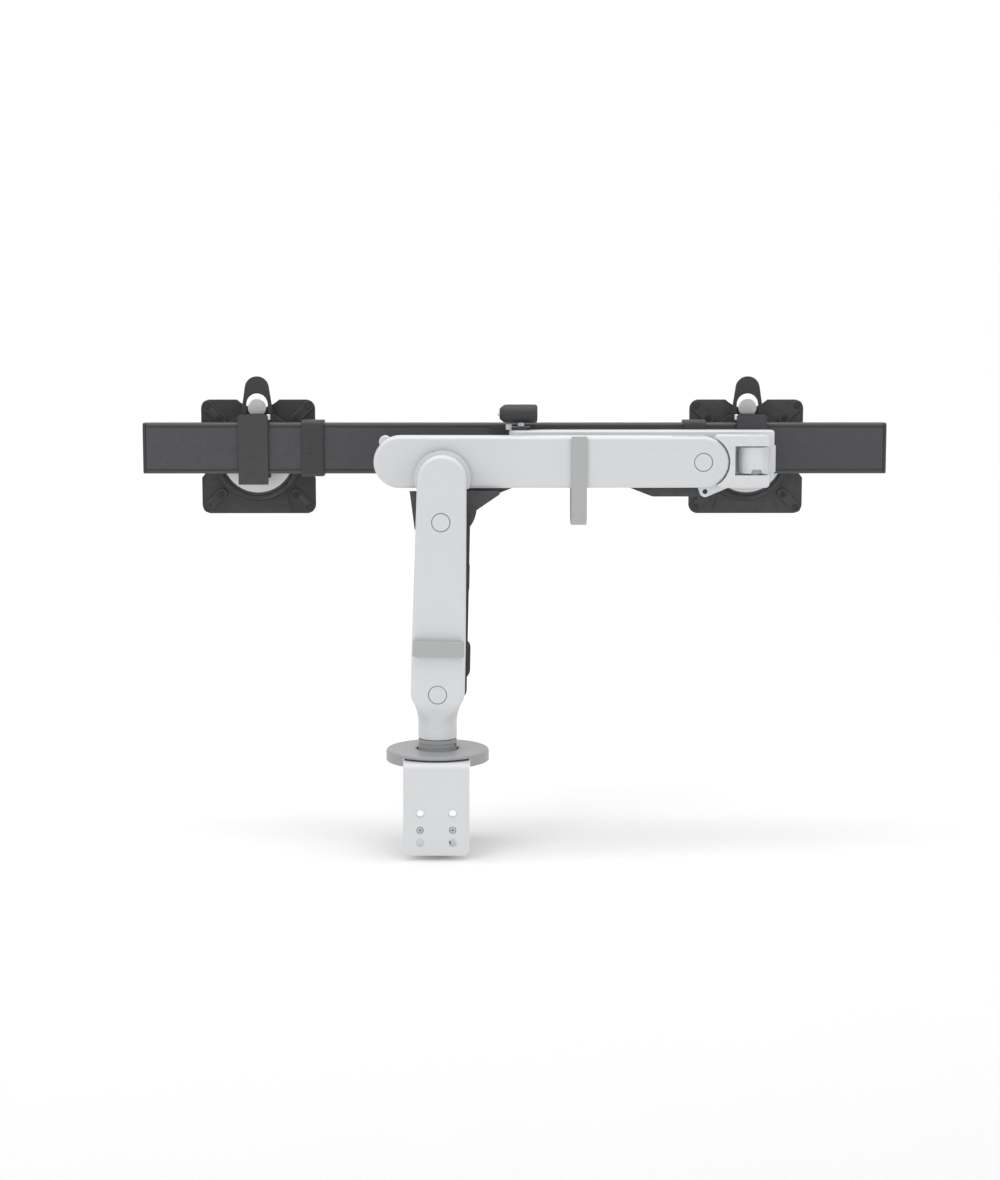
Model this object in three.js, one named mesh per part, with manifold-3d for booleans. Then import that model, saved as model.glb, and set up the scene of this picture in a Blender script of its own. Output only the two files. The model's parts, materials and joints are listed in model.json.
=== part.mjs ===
// A clamp-on desk arm: two pivoting links that stay level through hidden rods, a swivelling front link
// folded back behind them, and a long crossbar that carries two screen heads.
// Millimetres, +Z up. The origin is on the post's axis at the desk top. +X runs along the desk's rear edge,
// towards the wrist of the folded arm, and +Y runs over the desk towards the screens.
import * as THREE from "three";
import { mergeVertices } from "three/addons/utils/BufferGeometryUtils.js";
import Module from "manifold-3d";

const wasm = await Module();
wasm.setup();

// ---------------------------------------------------------------- driving sizes
const gap = 0.3; // between pieces that touch
const edge = 3.5; // bevel round the faces of both links

// The base and the clamp
const deskEdgeY = -52; // the desk's rear edge, measured from the post's axis
const deskThickness = 25;
const sheet = 4; // thickness of the clamp's bent plate
const bracketWidth = 61.4;
const bracketBottom = -79.9;
const bracketHoleX = 15.1;
const bracketHoleRows = [-40.3, -55.8, -67.8];
const plateTop = 6.3;
const screwY = -20; // the clamping screw's axis
const coverRadius = 48.7;
const coverTop = 11;
const collarRadius = 18.2;
const neckRadius = 18.4;
const footBottom = 21.3;
const spigotRadius = 11;

// The layers from the rear of the desk to the screens: [start, end] along Y
const linkY = [-24, 2];
const tongueY = [-17.7, -4.3];
const lowerRodY = [2.5, 6];
const kneeY = [6.5, 10.5];
const collarY = [2.6, 6.2];
const armY = [11, 45];
const forkY = [17.5, 31];
const earY = [18, 22];
const upperRodY = [22.5, 30];

// The lower link: its foot pivot, lean and length between pivots
const footPivot = { x: 0.7, z: 65.8 };
const lean = THREE.MathUtils.degToRad(1.27);
const linkLength = 162;
const linkHalfLow = 25.3;
const linkHalfTop = 22.9;
const linkTail = 38.7; // from the knee pivot to the centre of the round top
const seamRadius = 43.6; // the foot's cheeks end on this arc about the foot pivot
const rodOffset = 20; // the lower rod runs this far beside the link's pivots

// The knee and the upper arm
const kneeRise = 53.7; // from the lower knee pivot to the upper one
const armLength = 246.6;
const armTail = 39.7; // from the knee pivot to the centre of the round left end
const armHalf = 24.4;
const wristRadius = 24;
const dropX = 2.3; // the upper rod's pivots, measured from the arm's pivots
const dropZ = -28;
const capRadius = 8.1;

// The wrist and the front link
const swivel = { x: 49.1, y: 28 }; // the swivel's axis, measured from the wrist pivot and the post
const jawInner = [-12.4, 15.1];
const jawOuter = [-24, 25.2];
const foldY = [24, 47]; // the folded bar's faces, measured from the swivel's axis
const foldZ = [-19, 28.2];
const foldReach = 220.3;

// The crossbar and its heads
const barLength = 716.3;
const barHalfY = 10;
const barHalfZ = 24.65;
const barCentre = { x: 73.95, y: 90, z: 291.15 };
const headX = { left: -180, right: 304 };
const hookHalf = 14.5;
const tiltAxis = { y: 22, z: -10.5 }; // measured from the bar's centre
const hubRadius = 42.8;
const vesaHalf = 56.5;

// ---------------------------------------------------------------- solids
function toSolid(geometry) {
  const bare = geometry.clone();
  bare.deleteAttribute("normal");
  bare.deleteAttribute("uv");
  const merged = mergeVertices(bare, 1e-4);
  return new wasm.Manifold(
    new wasm.Mesh({
      numProp: 3,
      vertProperties: merged.attributes.position.array,
      triVerts: new Uint32Array(merged.index.array),
    }),
  );
}

function toGeometry(solid) {
  const mesh = solid.getMesh();
  const geometry = new THREE.BufferGeometry();
  geometry.setAttribute("position", new THREE.BufferAttribute(mesh.vertProperties, 3));
  geometry.setIndex(new THREE.BufferAttribute(mesh.triVerts, 1));
  geometry.computeVertexNormals();
  return geometry;
}

const join = (...pieces) => toGeometry(pieces.map(toSolid).reduce((a, b) => a.add(b)));
const cut = (base, ...tools) =>
  toGeometry(tools.map(toSolid).reduce((a, b) => a.subtract(b), toSolid(base)));
const common = (a, b) => toGeometry(toSolid(a).intersect(toSolid(b)));

// ---------------------------------------------------------------- outlines
function rounded(u0, v0, u1, v1, r) {
  const shape = new THREE.Shape();
  shape.absarc(u1 - r, v0 + r, r, -Math.PI / 2, 0, false);
  shape.absarc(u1 - r, v1 - r, r, 0, Math.PI / 2, false);
  shape.absarc(u0 + r, v1 - r, r, Math.PI / 2, Math.PI, false);
  shape.absarc(u0 + r, v0 + r, r, Math.PI, 1.5 * Math.PI, false);
  shape.closePath();
  return shape;
}

// The outline round two circles and the straight sides between them
function barOutline(ua, va, ra, ub, vb, rb) {
  const along = Math.atan2(vb - va, ub - ua);
  const spread = Math.acos((ra - rb) / Math.hypot(ub - ua, vb - va));
  const shape = new THREE.Shape();
  shape.absarc(ua, va, ra, along + spread, along - spread + 2 * Math.PI, false);
  shape.absarc(ub, vb, rb, along - spread, along + spread, false);
  shape.closePath();
  return shape;
}

function polygon(...points) {
  return new THREE.Shape(points.map(([u, v]) => new THREE.Vector2(u, v)));
}

// ---------------------------------------------------------------- extrusions
function extrude(shape, depth, bevel, segments) {
  const geometry = new THREE.ExtrudeGeometry(shape, {
    depth: depth - 2 * bevel,
    bevelEnabled: bevel > 0,
    bevelThickness: bevel,
    bevelSize: bevel,
    bevelOffset: -bevel,
    bevelSegments: 1,
    curveSegments: segments,
  });
  return geometry.translate(0, 0, bevel);
}

function alongZ(shape, z0, z1, bevel = 0, segments = 4) {
  return extrude(shape, z1 - z0, bevel, segments).translate(0, 0, z0);
}

// The outline's u and v become X and Z
function alongY(shape, [y0, y1], bevel = 0, segments = 8) {
  return extrude(shape, y1 - y0, bevel, segments).rotateX(Math.PI / 2).translate(0, y1, 0);
}

// The outline's u and v become Y and Z
function alongX(shape, x0, x1, bevel = 0, segments = 3) {
  const turn = new THREE.Matrix4().set(0, 0, 1, x0, 1, 0, 0, 0, 0, 1, 0, 0, 0, 0, 0, 1);
  return extrude(shape, x1 - x0, bevel, segments).applyMatrix4(turn);
}

function box(x0, x1, y0, y1, z0, z1) {
  const geometry = new THREE.BoxGeometry(x1 - x0, y1 - y0, z1 - z0);
  return geometry.translate((x0 + x1) / 2, (y0 + y1) / 2, (z0 + z1) / 2);
}

function cylinderX(r, x0, x1, y = 0, z = 0, segments = 16) {
  const geometry = new THREE.CylinderGeometry(r, r, x1 - x0, segments);
  return geometry.rotateZ(Math.PI / 2).translate((x0 + x1) / 2, y, z);
}

function cylinderY(r, y0, y1, x = 0, z = 0, segments = 16) {
  return new THREE.CylinderGeometry(r, r, y1 - y0, segments).translate(x, (y0 + y1) / 2, z);
}

function cylinderZ(r, z0, z1, x = 0, y = 0, segments = 16) {
  const geometry = new THREE.CylinderGeometry(r, r, z1 - z0, segments);
  return geometry.rotateX(Math.PI / 2).translate(x, y, (z0 + z1) / 2);
}

// A turned piece about the Z axis, from its half section as [radius, height] points, base first
function turned(points, segments = 20) {
  const section = points.map(([r, z]) => new THREE.Vector2(r, z));
  section.push(section[0].clone());
  return new THREE.LatheGeometry(section, segments).rotateX(Math.PI / 2);
}

class Helix extends THREE.Curve {
  constructor(radius, length, turns) {
    super();
    Object.assign(this, { radius, length, turns });
  }
  getPoint(t, target = new THREE.Vector3()) {
    const angle = 2 * Math.PI * this.turns * t;
    return target.set(this.radius * Math.cos(angle), this.radius * Math.sin(angle), this.length * t);
  }
}

// A coil spring standing on z = 0
function coil(radius, length, turns, wire) {
  const section = new THREE.Shape();
  for (let i = 0; i < 5; i++) {
    const angle = (i * 2 * Math.PI) / 5;
    const u = wire * Math.cos(angle);
    const v = wire * Math.sin(angle);
    if (i === 0) section.moveTo(u, v);
    else section.lineTo(u, v);
  }
  section.closePath();
  return new THREE.ExtrudeGeometry(section, {
    steps: turns * 10,
    bevelEnabled: false,
    extrudePath: new Helix(radius, length - 2 * wire, turns),
  }).translate(0, 0, wire);
}

// ---------------------------------------------------------------- materials and the scene graph
const finish = {
  light: [0xd8dadd, 0.42, 0.15],
  clip: [0xb4b6b9, 0.5, 0.1],
  cover: [0xb9bbbf, 0.5, 0.15],
  dark: [0x3a3b3e, 0.5, 0.2],
  bar: [0x47484b, 0.45, 0.3],
  steel: [0xb9bcc0, 0.3, 0.9],
  silver: [0xd6d8da, 0.28, 0.8],
  rubber: [0x202022, 0.9, 0],
  bush: [0xe4e2da, 0.6, 0],
};

function group(parent, x = 0, y = 0, z = 0, tilt = 0) {
  const made = new THREE.Group();
  made.position.set(x, y, z);
  made.rotation.y = tilt;
  parent.add(made);
  return made;
}

function add(parent, name, geometry, [color, roughness, metalness]) {
  const mesh = new THREE.Mesh(
    geometry,
    new THREE.MeshStandardMaterial({ color, roughness, metalness }),
  );
  mesh.name = name;
  parent.add(mesh);
}

const root = new THREE.Group();
root.name = "screen_arm";

// ---------------------------------------------------------------- clamp and base
const bend = 6;
const bracketSection = new THREE.Shape();
bracketSection.moveTo(deskEdgeY, bracketBottom);
bracketSection.lineTo(deskEdgeY, plateTop - bend);
bracketSection.absarc(deskEdgeY + bend - sheet, plateTop - bend, bend - sheet, Math.PI, Math.PI / 2, true);
bracketSection.lineTo(34, plateTop - sheet);
bracketSection.lineTo(34, plateTop);
bracketSection.absarc(deskEdgeY + bend - sheet, plateTop - bend, bend, Math.PI / 2, Math.PI, false);
bracketSection.lineTo(deskEdgeY - sheet, bracketBottom);
bracketSection.closePath();

const half = bracketWidth / 2;
const bracketBlank = common(
  common(
    alongX(bracketSection, -half, half),
    alongY(rounded(-half, bracketBottom, half, 30, 6.5), [-60, 60]),
  ),
  alongZ(rounded(-half, -80, half, 34, 12), bracketBottom - 1, 30),
);
const bracketHoles = [-1, 1].flatMap((side) =>
  bracketHoleRows.map((z) => cylinderY(3.3, -60, -48, side * bracketHoleX, z, 16)),
);
add(root, "clamp_bracket", cut(bracketBlank, ...bracketHoles), finish.light);
add(root, "desk_pad", alongZ(rounded(-28, -49, 28, 32, 8), 0, 2), finish.rubber);

const coverWall = 2.7;
const rimBottom = 0.3;
const coverCeiling = coverTop - 2.8;
add(
  root,
  "base_cover",
  cut(
    turned([
      [20.2, coverCeiling],
      [coverRadius - coverWall, coverCeiling],
      [coverRadius - coverWall, rimBottom],
      [coverRadius, rimBottom],
      [coverRadius, coverTop - 1.6],
      [coverRadius - 1.6, coverTop],
      [20.2, coverTop],
    ], 40),
    box(-half - 0.5, half + 0.5, -60, -25, 0, coverCeiling),
  ),
  finish.cover,
);

add(
  root,
  "post_spigot",
  turned([
    [0, plateTop + gap],
    [15, plateTop + gap],
    [15, 8.8],
    [spigotRadius, 8.8],
    [spigotRadius, 38.8],
    [spigotRadius - 1.2, 40],
    [0, 40],
  ]),
  finish.steel,
);

// The stop peg stands inside the collar, behind a small window, and runs in a groove under the foot
const pegRadius = 1.2;
const pegAt = { r: 16, angle: THREE.MathUtils.degToRad(-24.4) };
const pegWindowZ = 15.4;
const pegX = pegAt.r * Math.cos(pegAt.angle);
const pegY = pegAt.r * Math.sin(pegAt.angle);
add(
  root,
  "base_collar",
  cut(
    turned([
      [spigotRadius + gap, 9.1],
      [collarRadius, 9.1],
      [collarRadius, 20.7],
      [spigotRadius + gap, 20.7],
    ]),
    cylinderZ(pegRadius + gap, 9.6, 22, pegX, pegY, 16),
    cylinderX(2.2, pegAt.r, 22, 0, pegWindowZ, 20).rotateZ(pegAt.angle),
  ),
  finish.cover,
);
add(root, "stop_peg", cylinderZ(pegRadius, 9.9, 23.8, pegX, pegY, 16), finish.silver);

// The lower jaw is bolted through the bracket's middle pair of holes
const jawBack = deskEdgeY + gap;
const jawRow = bracketHoleRows[1];
add(
  root,
  "lower_jaw",
  cut(
    join(
      box(-26, 26, jawBack, jawBack + 4, -64, -46),
      alongZ(rounded(-26, jawBack, 26, 8, 3), -64, -60),
      ...[-1, 1].map((side) =>
        alongX(polygon([jawBack, -62], [4, -62], [jawBack, -50]), side * 23.5 - 1.5, side * 23.5 + 1.5),
      ),
      cylinderZ(11, -63, -53, 0, screwY),
    ),
    cylinderZ(6.3, -70, -50, 0, screwY),
    cylinderY(3.1, -60, -40, -bracketHoleX, jawRow, 16),
    cylinderY(3.1, -60, -40, bracketHoleX, jawRow, 16),
  ),
  finish.light,
);
for (const [side, name] of [[-1, "left"], [1, "right"]]) {
  const bolt = join(
    cylinderY(2.8, deskEdgeY - sheet + 0.6, -45, 0, 0, 16),
    cylinderY(4, jawBack + 4 + gap, -43.4, 0, 0, 6),
  );
  const socket = cylinderY(1.4, -60, deskEdgeY - sheet + 2.6, 0, 0, 6);
  add(
    group(root, side * bracketHoleX, 0, jawRow),
    "jaw_screw_" + name,
    cut(bolt, socket),
    finish.steel,
  );
}

// ---------------------------------------------------------------- clamping screw
const screwGroup = group(root, 0, screwY, -deskThickness);
add(
  screwGroup,
  "pressure_pad",
  turned([
    [4.3, -11],
    [9, -11],
    [9, -6],
    [20, -4.5],
    [20, 0],
    [0, 0],
    [0, -3],
    [4.3, -3],
  ]),
  finish.steel,
);
add(
  screwGroup,
  "clamp_screw",
  turned([
    [0, -55],
    [6, -55],
    [6, -12.5],
    [4, -12.5],
    [4, -4.4],
    [3, -3.4],
    [0, -3.4],
  ]),
  finish.steel,
);
const knobFlutes = [0, 1, 2, 3, 4, 5, 6, 7].map((i) => {
  const angle = (i * Math.PI) / 4;
  return cylinderZ(2.2, -60, -45, 13.6 * Math.cos(angle), 13.6 * Math.sin(angle), 8);
});
add(
  screwGroup,
  "clamp_knob",
  cut(cylinderZ(13, -59, -48.3), cylinderZ(6.3, -55.3, -45), ...knobFlutes),
  finish.dark,
);

// ---------------------------------------------------------------- foot
const foot = group(root);
const cheekWhole = common(
  alongY(barOutline(0, 0, linkHalfLow, 0, 44, linkHalfLow), linkY, edge, 10),
  cylinderY(seamRadius, -40, 40, 0, 0, 40),
);
cheekWhole.rotateY(lean).translate(footPivot.x, 0, footPivot.z);
const cheekBlank = common(cheekWhole, box(-60, 60, -60, 60, footPivot.z, 130));

const grooveFrom = THREE.MathUtils.degToRad(-209.6);
const grooveTo = THREE.MathUtils.degToRad(-19.2);
const stopGroove = new THREE.Shape();
stopGroove.absarc(0, 0, pegAt.r + 1.5, grooveFrom, grooveTo, false);
stopGroove.absarc(0, 0, pegAt.r - 1.5, grooveTo, grooveFrom, true);
stopGroove.closePath();

const slotFloor = footPivot.z - 17;

// Levels of the flare: height, half width, and how far the section has turned from round to square
const flare = [
  [38, neckRadius, 0],
  [45, 19.1, 0.36],
  [52, 20.4, 0.86],
  [57.2, 22.2, 1],
  [61.5, 24.5, 1],
  [65.8, linkHalfLow, 1],
];
function flareSlice([z, half, square]) {
  const front = -neckRadius + (linkY[0] + neckRadius) * square;
  const back = neckRadius + (linkY[1] - neckRadius) * square;
  const middle = footPivot.x * square;
  const corner = Math.min(half, (back - front) / 2) * (1 - square) + edge * square;
  const plan = rounded(middle - half, front, middle + half, back, corner - 0.01);
  return toSolid(alongZ(plan, z, z + 0.02, 0, 10));
}
const spanned = (low, high) => toGeometry(wasm.Manifold.hull([flareSlice(low), flareSlice(high)]));
add(
  foot,
  "foot_casting",
  cut(
    join(
      cylinderZ(neckRadius, footBottom, flare[0][0] + 0.02, 0, 0, 40),
      ...flare.slice(1).map((level, i) => spanned(flare[i], level)),
      cheekBlank,
      cylinderY(3, 0, lowerRodY[1] + 0.2, footPivot.x + rodOffset, footPivot.z, 16),
    ),
    box(-60, 60, tongueY[0] - gap, tongueY[1] + gap, slotFloor, 130),
    cylinderZ(13.6, 20, 42),
    alongZ(stopGroove, 20, 24.3, 0, 24),
    cylinderY(6, -30, 10, footPivot.x, footPivot.z),
    cylinderY(capRadius + gap, -30, linkY[0] + 1.6, footPivot.x, footPivot.z, 24),
  ),
  finish.light,
);
add(
  foot,
  "foot_bush",
  turned([
    [spigotRadius + 0.3, 21.5],
    [13.3, 21.5],
    [13.3, 41],
    [spigotRadius + 0.3, 41],
  ]),
  finish.bush,
);
const footPins = group(foot, footPivot.x, 0, footPivot.z);
add(footPins, "foot_pivot_pin", cylinderY(5.7, linkY[0] + 1.9, linkY[1] - 0.4), finish.steel);
add(footPins, "foot_pivot_cap", cylinderY(capRadius, linkY[0] + 0.1, linkY[0] + 1.3, 0, 0, 24), finish.light);

// ---------------------------------------------------------------- lower link and its rod
const lowerLink = group(foot, footPivot.x, 0, footPivot.z, lean);
const linkTop = linkLength + linkTail;
const springY = -8;
add(
  lowerLink,
  "lower_link_shell",
  cut(
    join(
      cut(
        alongY(barOutline(0, 36, linkHalfLow, 0, linkTop, linkHalfTop), linkY, edge, 10),
        cylinderY(seamRadius + gap, -40, 40, 0, 0, 40),
      ),
      alongY(barOutline(0, 0, 16, 0, 60, 16), tongueY),
    ),
    box(-13, 13, -18, 5, 62, 148),
    cylinderY(6.1, -30, 10),
    cylinderY(4.8, -30, 10, 0, linkLength),
    cylinderY(capRadius + gap, -30, linkY[0] + 1.6, 0, linkLength, 24),
  ),
  finish.light,
);
add(lowerLink, "lower_link_cap", cylinderY(capRadius, linkY[0] + 0.1, linkY[0] + 1.3, 0, linkLength, 24), finish.light);
add(lowerLink, "lower_spring", coil(7.4, 57, 6, 1.5).translate(0, springY, 62.4), finish.steel);
add(
  lowerLink,
  "lower_spring_seat",
  turned([
    [0, 119.8],
    [9.2, 119.8],
    [9.2, 125],
    [3.2, 127],
    [3.2, 147.6],
    [0, 147.6],
  ], 20).translate(0, springY, 0),
  finish.dark,
);
const bandZ = [37, 51.4];
const bandFront = linkY[0] - 7.4;
add(
  lowerLink,
  "lower_cable_clip",
  cut(
    alongZ(rounded(-24, bandFront, 24, linkY[0] + 3, 2.5), bandZ[0], bandZ[1]),
    box(-21.4, 21.4, bandFront + 1.8, 0, 30, 60),
    box(-30, 30, linkY[0] - gap, 0, 30, 60),
  ),
  finish.clip,
);

const lowerRod = group(foot, footPivot.x + rodOffset, 0, footPivot.z, lean);
add(
  lowerRod,
  "lower_rod",
  cut(
    join(
      alongY(barOutline(0, 0, 7, 0, linkLength, 7), lowerRodY),
      alongY(barOutline(0.8, 20, 9, 0.8, 41, 9), lowerRodY),
      alongY(barOutline(-1.5, 98, 9, -1.5, 118, 9), lowerRodY),
    ),
    cylinderY(3.3, 0, 10, 0, 0, 16),
    cylinderY(3.3, 0, 10, 0, linkLength, 16),
  ),
  finish.dark,
);

// ---------------------------------------------------------------- knee bracket between the links
const kneeX = footPivot.x + linkLength * Math.sin(lean);
const kneeZ = footPivot.z + linkLength * Math.cos(lean);
const knee = group(foot, kneeX, 0, kneeZ);
const kneeOutline = new THREE.Shape();
kneeOutline.moveTo(0, -16);
kneeOutline.lineTo(20, -12);
kneeOutline.quadraticCurveTo(31, -6, 33, 9);
kneeOutline.lineTo(55, 24);
kneeOutline.lineTo(54, 27);
kneeOutline.lineTo(17, 27);
kneeOutline.lineTo(13, kneeRise);
kneeOutline.absarc(0, kneeRise, 13, 0, Math.PI, false);
kneeOutline.lineTo(-16, 27);
kneeOutline.lineTo(-30, 27);
kneeOutline.lineTo(-25.5, -9);
kneeOutline.quadraticCurveTo(-14, -16, 0, -16);
const kneePins = [
  ["lower_knee_pin", 4.5, linkY[0] + 1.9, 0, 0],
  ["upper_knee_pin", 5, armY[1] - 1, 0, kneeRise],
];
add(
  knee,
  "knee_bracket",
  cut(
    join(
      alongY(kneeOutline, kneeY),
      cylinderY(3, lowerRodY[0] + 0.2, kneeY[1], rodOffset, 0, 16),
      cylinderY(3, kneeY[0], upperRodY[1] + 0.4, dropX, kneeRise + dropZ, 16),
    ),
    ...kneePins.map(([, r, , x, z]) => cylinderY(r + gap, 0, 20, x, z)),
  ),
  finish.dark,
);
const kneeTopX = linkTail * Math.sin(lean);
const kneeTopZ = linkTail * Math.cos(lean);
add(
  knee,
  "knee_collar",
  cut(
    common(
      cylinderY(linkHalfTop + 3.6, collarY[0], collarY[1], kneeTopX, kneeTopZ, 48),
      box(-40, 40, 0, 20, kneeRise - armHalf, 80),
    ),
    cylinderY(5 + gap, 0, 20, 0, kneeRise),
  ),
  finish.light,
);
for (const [name, r, y, x, z] of kneePins) {
  const start = y < kneeY[0] ? y : collarY[0] + 0.3;
  const end = y < kneeY[0] ? kneeY[1] - 0.2 : y;
  add(knee, name, cylinderY(r, start, end, x, z), finish.steel);
}

// ---------------------------------------------------------------- upper arm and its rod
const arm = group(knee, 0, 0, kneeRise);
const cavityX = [30, 210];
const springZ = 4.5;
// The upper rod's knee pin swings in this arc of the shell as the arm tilts
const pinSwing = Math.hypot(dropX, dropZ);
const pinArc = [-134, -36].map(THREE.MathUtils.degToRad);
const pinSlot = new THREE.Shape();
pinSlot.absarc(0, 0, pinSwing + 4, pinArc[0], pinArc[1], false);
pinSlot.absarc(0, 0, pinSwing - 4, pinArc[1], pinArc[0], true);
pinSlot.closePath();
add(
  arm,
  "upper_arm_shell",
  cut(
    alongY(barOutline(-armTail, 0, armHalf, armLength, 0, wristRadius), armY, edge, 10),
    box(218, 300, forkY[0], forkY[1], -40, 40),
    box(-35, 219, upperRodY[0] - 1, upperRodY[1] + 1, -40, -11),
    alongY(pinSlot, [0, upperRodY[0]], 0, 12),
    box(cavityX[0], cavityX[1], 15, 41, -40, 15),
    cylinderY(5.3, 0, 60),
    cylinderY(5.3, 0, armY[1] - 1.5, armLength),
    cylinderY(capRadius + gap, 0, armY[0] + 1.6, armLength, 0, 24),
  ),
  finish.light,
);
add(arm, "wrist_cap", cylinderY(capRadius, armY[0] + 0.1, armY[0] + 1.3, armLength, 0, 24), finish.light);
add(arm, "wrist_pin", cylinderY(5, armY[0] + 1.9, armY[1] - 1.8, armLength), finish.steel);
add(
  arm,
  "upper_spring",
  coil(7.8, 98, 9, 1.6).rotateY(Math.PI / 2).translate(cavityX[0] + 0.4, swivel.y, springZ),
  finish.steel,
);
add(
  arm,
  "spring_adjuster",
  turned([
    [0, 128.8],
    [9.2, 128.8],
    [9.2, 134],
    [3.4, 136],
    [3.4, cavityX[1] - gap],
    [0, cavityX[1] - gap],
  ], 20).rotateY(Math.PI / 2).translate(0, swivel.y, springZ),
  finish.dark,
);
add(
  arm,
  "balance_knob",
  cylinderY(6, armY[1] + gap, armY[1] + 5, -armTail - 14.8, 17.8),
  finish.light,
);
const clipX = [122.2, 136.9];
const loopTop = armHalf;
const loopOutline = new THREE.Shape();
loopOutline.moveTo(armY[0] - 3, loopTop);
loopOutline.lineTo(armY[0] - 3, -46);
loopOutline.absarc(armY[0] + 11, -46, 14, Math.PI, 1.5 * Math.PI, false);
loopOutline.absarc(armY[1] - 11, -46, 14, 1.5 * Math.PI, 2 * Math.PI, false);
loopOutline.lineTo(armY[1] + 3, loopTop);
loopOutline.lineTo(armY[1] + gap, loopTop);
loopOutline.lineTo(armY[1] + gap, -46);
loopOutline.absarc(armY[1] - 11, -46, 11.3, 0, -Math.PI / 2, true);
loopOutline.absarc(armY[0] + 11, -46, 11.3, -Math.PI / 2, -Math.PI, true);
loopOutline.lineTo(armY[0] - gap, loopTop);
loopOutline.closePath();
add(arm, "arm_cable_clip", alongX(loopOutline, clipX[0], clipX[1], 0, 8), finish.clip);

const upperRod = group(knee, dropX, 0, kneeRise + dropZ);
const arch = [[0, 0], [43, 0], [68, 10.1], [172, 10.1], [198, 0], [armLength, 0]];
const archBars = arch.slice(1).map(([x, z], i) =>
  alongY(barOutline(arch[i][0], arch[i][1], 5, x, z, 5), upperRodY, 0, 8),
);
add(
  upperRod,
  "upper_rod",
  cut(
    join(
      ...archBars,
      cylinderY(6.5, upperRodY[0], upperRodY[1]),
      cylinderY(6.5, upperRodY[0], upperRodY[1], armLength),
    ),
    cylinderY(3.3, 0, 60, 0, 0, 16),
    cylinderY(3.3, 0, 60, armLength, 0, 16),
  ),
  finish.dark,
);

// ---------------------------------------------------------------- wrist clevis
const wrist = group(arm, armLength, 0, 0);
const jawEnd = 62.4;
const throat = 29.8;
const earReach = 5.2;
add(
  wrist,
  "wrist_clevis",
  cut(
    join(
      cylinderY(2.9, earY[0] + 1, upperRodY[1] - 0.2, dropX, dropZ, 16),
      cut(
        alongY(rounded(13.1, jawOuter[0], jawEnd, jawOuter[1], 4), armY, 0.8),
        cylinderY(wristRadius + 1.2, 0, 60, 0, 0, 40),
        box(throat, 80, 0, 60, jawInner[0], jawInner[1]),
      ),
      alongY(barOutline(0, 0, 14, 14, 0, 14), [earY[0], 30.5]),
      box(10, throat, earY[0], 30.5, jawInner[0], 12),
      alongY(barOutline(0, 0, 12, dropX, dropZ, earReach), earY),
      alongY(barOutline(dropX, dropZ, earReach, 25, -18.5, 5), earY),
    ),
    cylinderY(5.3, 0, 60),
    cylinderY(2.4, 0, earY[0] + 3, dropX, dropZ, 20),
    cylinderZ(5.3, -40, 40, swivel.x, swivel.y),
  ),
  finish.light,
);
add(wrist, "swivel_pin", cylinderZ(5, jawOuter[0] + 0.6, jawOuter[1] - 0.6, swivel.x, swivel.y), finish.steel);

// ---------------------------------------------------------------- folded front link
const front = group(wrist, swivel.x, swivel.y, 0);
const knuckleZ = [jawInner[0] + 1.2, jawInner[1] - 1];
const foldEnd = 23.2;
const foldMid = (foldY[0] + foldY[1]) / 2;
const foldHalf = (foldY[1] - foldY[0]) / 2;
const knuckleNotch = polygon(
  [-4.6, knuckleZ[0] - 1],
  [7.4, knuckleZ[0] - 1],
  [5.6, knuckleZ[0] + 6.6],
  [-2.8, knuckleZ[0] + 6.6],
);
const foldPlan = new THREE.Shape();
foldPlan.absarc(-foldReach, foldMid, foldHalf, Math.PI / 2, 1.5 * Math.PI, false);
foldPlan.absarc(foldEnd - 4, foldY[0] + 4, 4, -Math.PI / 2, 0, false);
foldPlan.absarc(foldEnd - 8, foldY[1] - 8, 8, 0, Math.PI / 2, false);
foldPlan.closePath();
add(
  front,
  "front_link",
  cut(
    join(
      cylinderZ(15, knuckleZ[0], knuckleZ[1], 0, 0, 32),
      box(-14, 14, 0, 26, knuckleZ[0], knuckleZ[1]),
      box(-14, foldEnd, 18.4, 32, knuckleZ[0], knuckleZ[1]),
      alongZ(foldPlan, foldZ[0], foldZ[1], 1.5, 10),
    ),
    cylinderZ(5.3, -40, 40),
    cylinderZ(4.3, -40, 40, -foldReach, foldMid),
    alongY(knuckleNotch, [-20, -9]),
  ),
  finish.light,
);

// ---------------------------------------------------------------- carrier and its lock
const carrier = group(front, -foldReach, foldMid, 0);
const carrierX = [-29.2, 22.3];
const carrierWorld = { y: swivel.y + foldMid, z: kneeZ + kneeRise };
const barFrontY = barCentre.y - barHalfY - carrierWorld.y;
const barBackY = barFrontY + 2 * barHalfY;
const barLowZ = barCentre.z - barHalfZ - carrierWorld.z;
const wallY = [barFrontY - 3, barFrontY - gap];
const lowLug = [foldZ[0] - 3.4, foldZ[0] - 0.4];
const topLug = [foldZ[1] + 0.4, foldZ[1] + 3];
const lugPlan = barOutline(0, 0, 9, 0, wallY[0] - 2, 9);
add(
  carrier,
  "bar_carrier",
  cut(
    join(
      box(carrierX[0], carrierX[1], wallY[0], wallY[1], lowLug[0], topLug[1]),
      box(carrierX[0], carrierX[1], wallY[0], barBackY + 3.3, barLowZ - 3.4, barLowZ - gap),
      box(carrierX[0], carrierX[1], barBackY + gap, barBackY + 3.3, barLowZ - 3.4, barLowZ + 7),
      common(alongZ(lugPlan, lowLug[0], lowLug[1], 0, 10), box(-20, 20, -20, wallY[1], -60, 60)),
      common(alongZ(lugPlan, topLug[0], topLug[1], 0, 10), box(-20, 20, -20, wallY[1], -60, 60)),
    ),
    cylinderZ(4.3, -60, 60),
  ),
  finish.dark,
);
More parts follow.
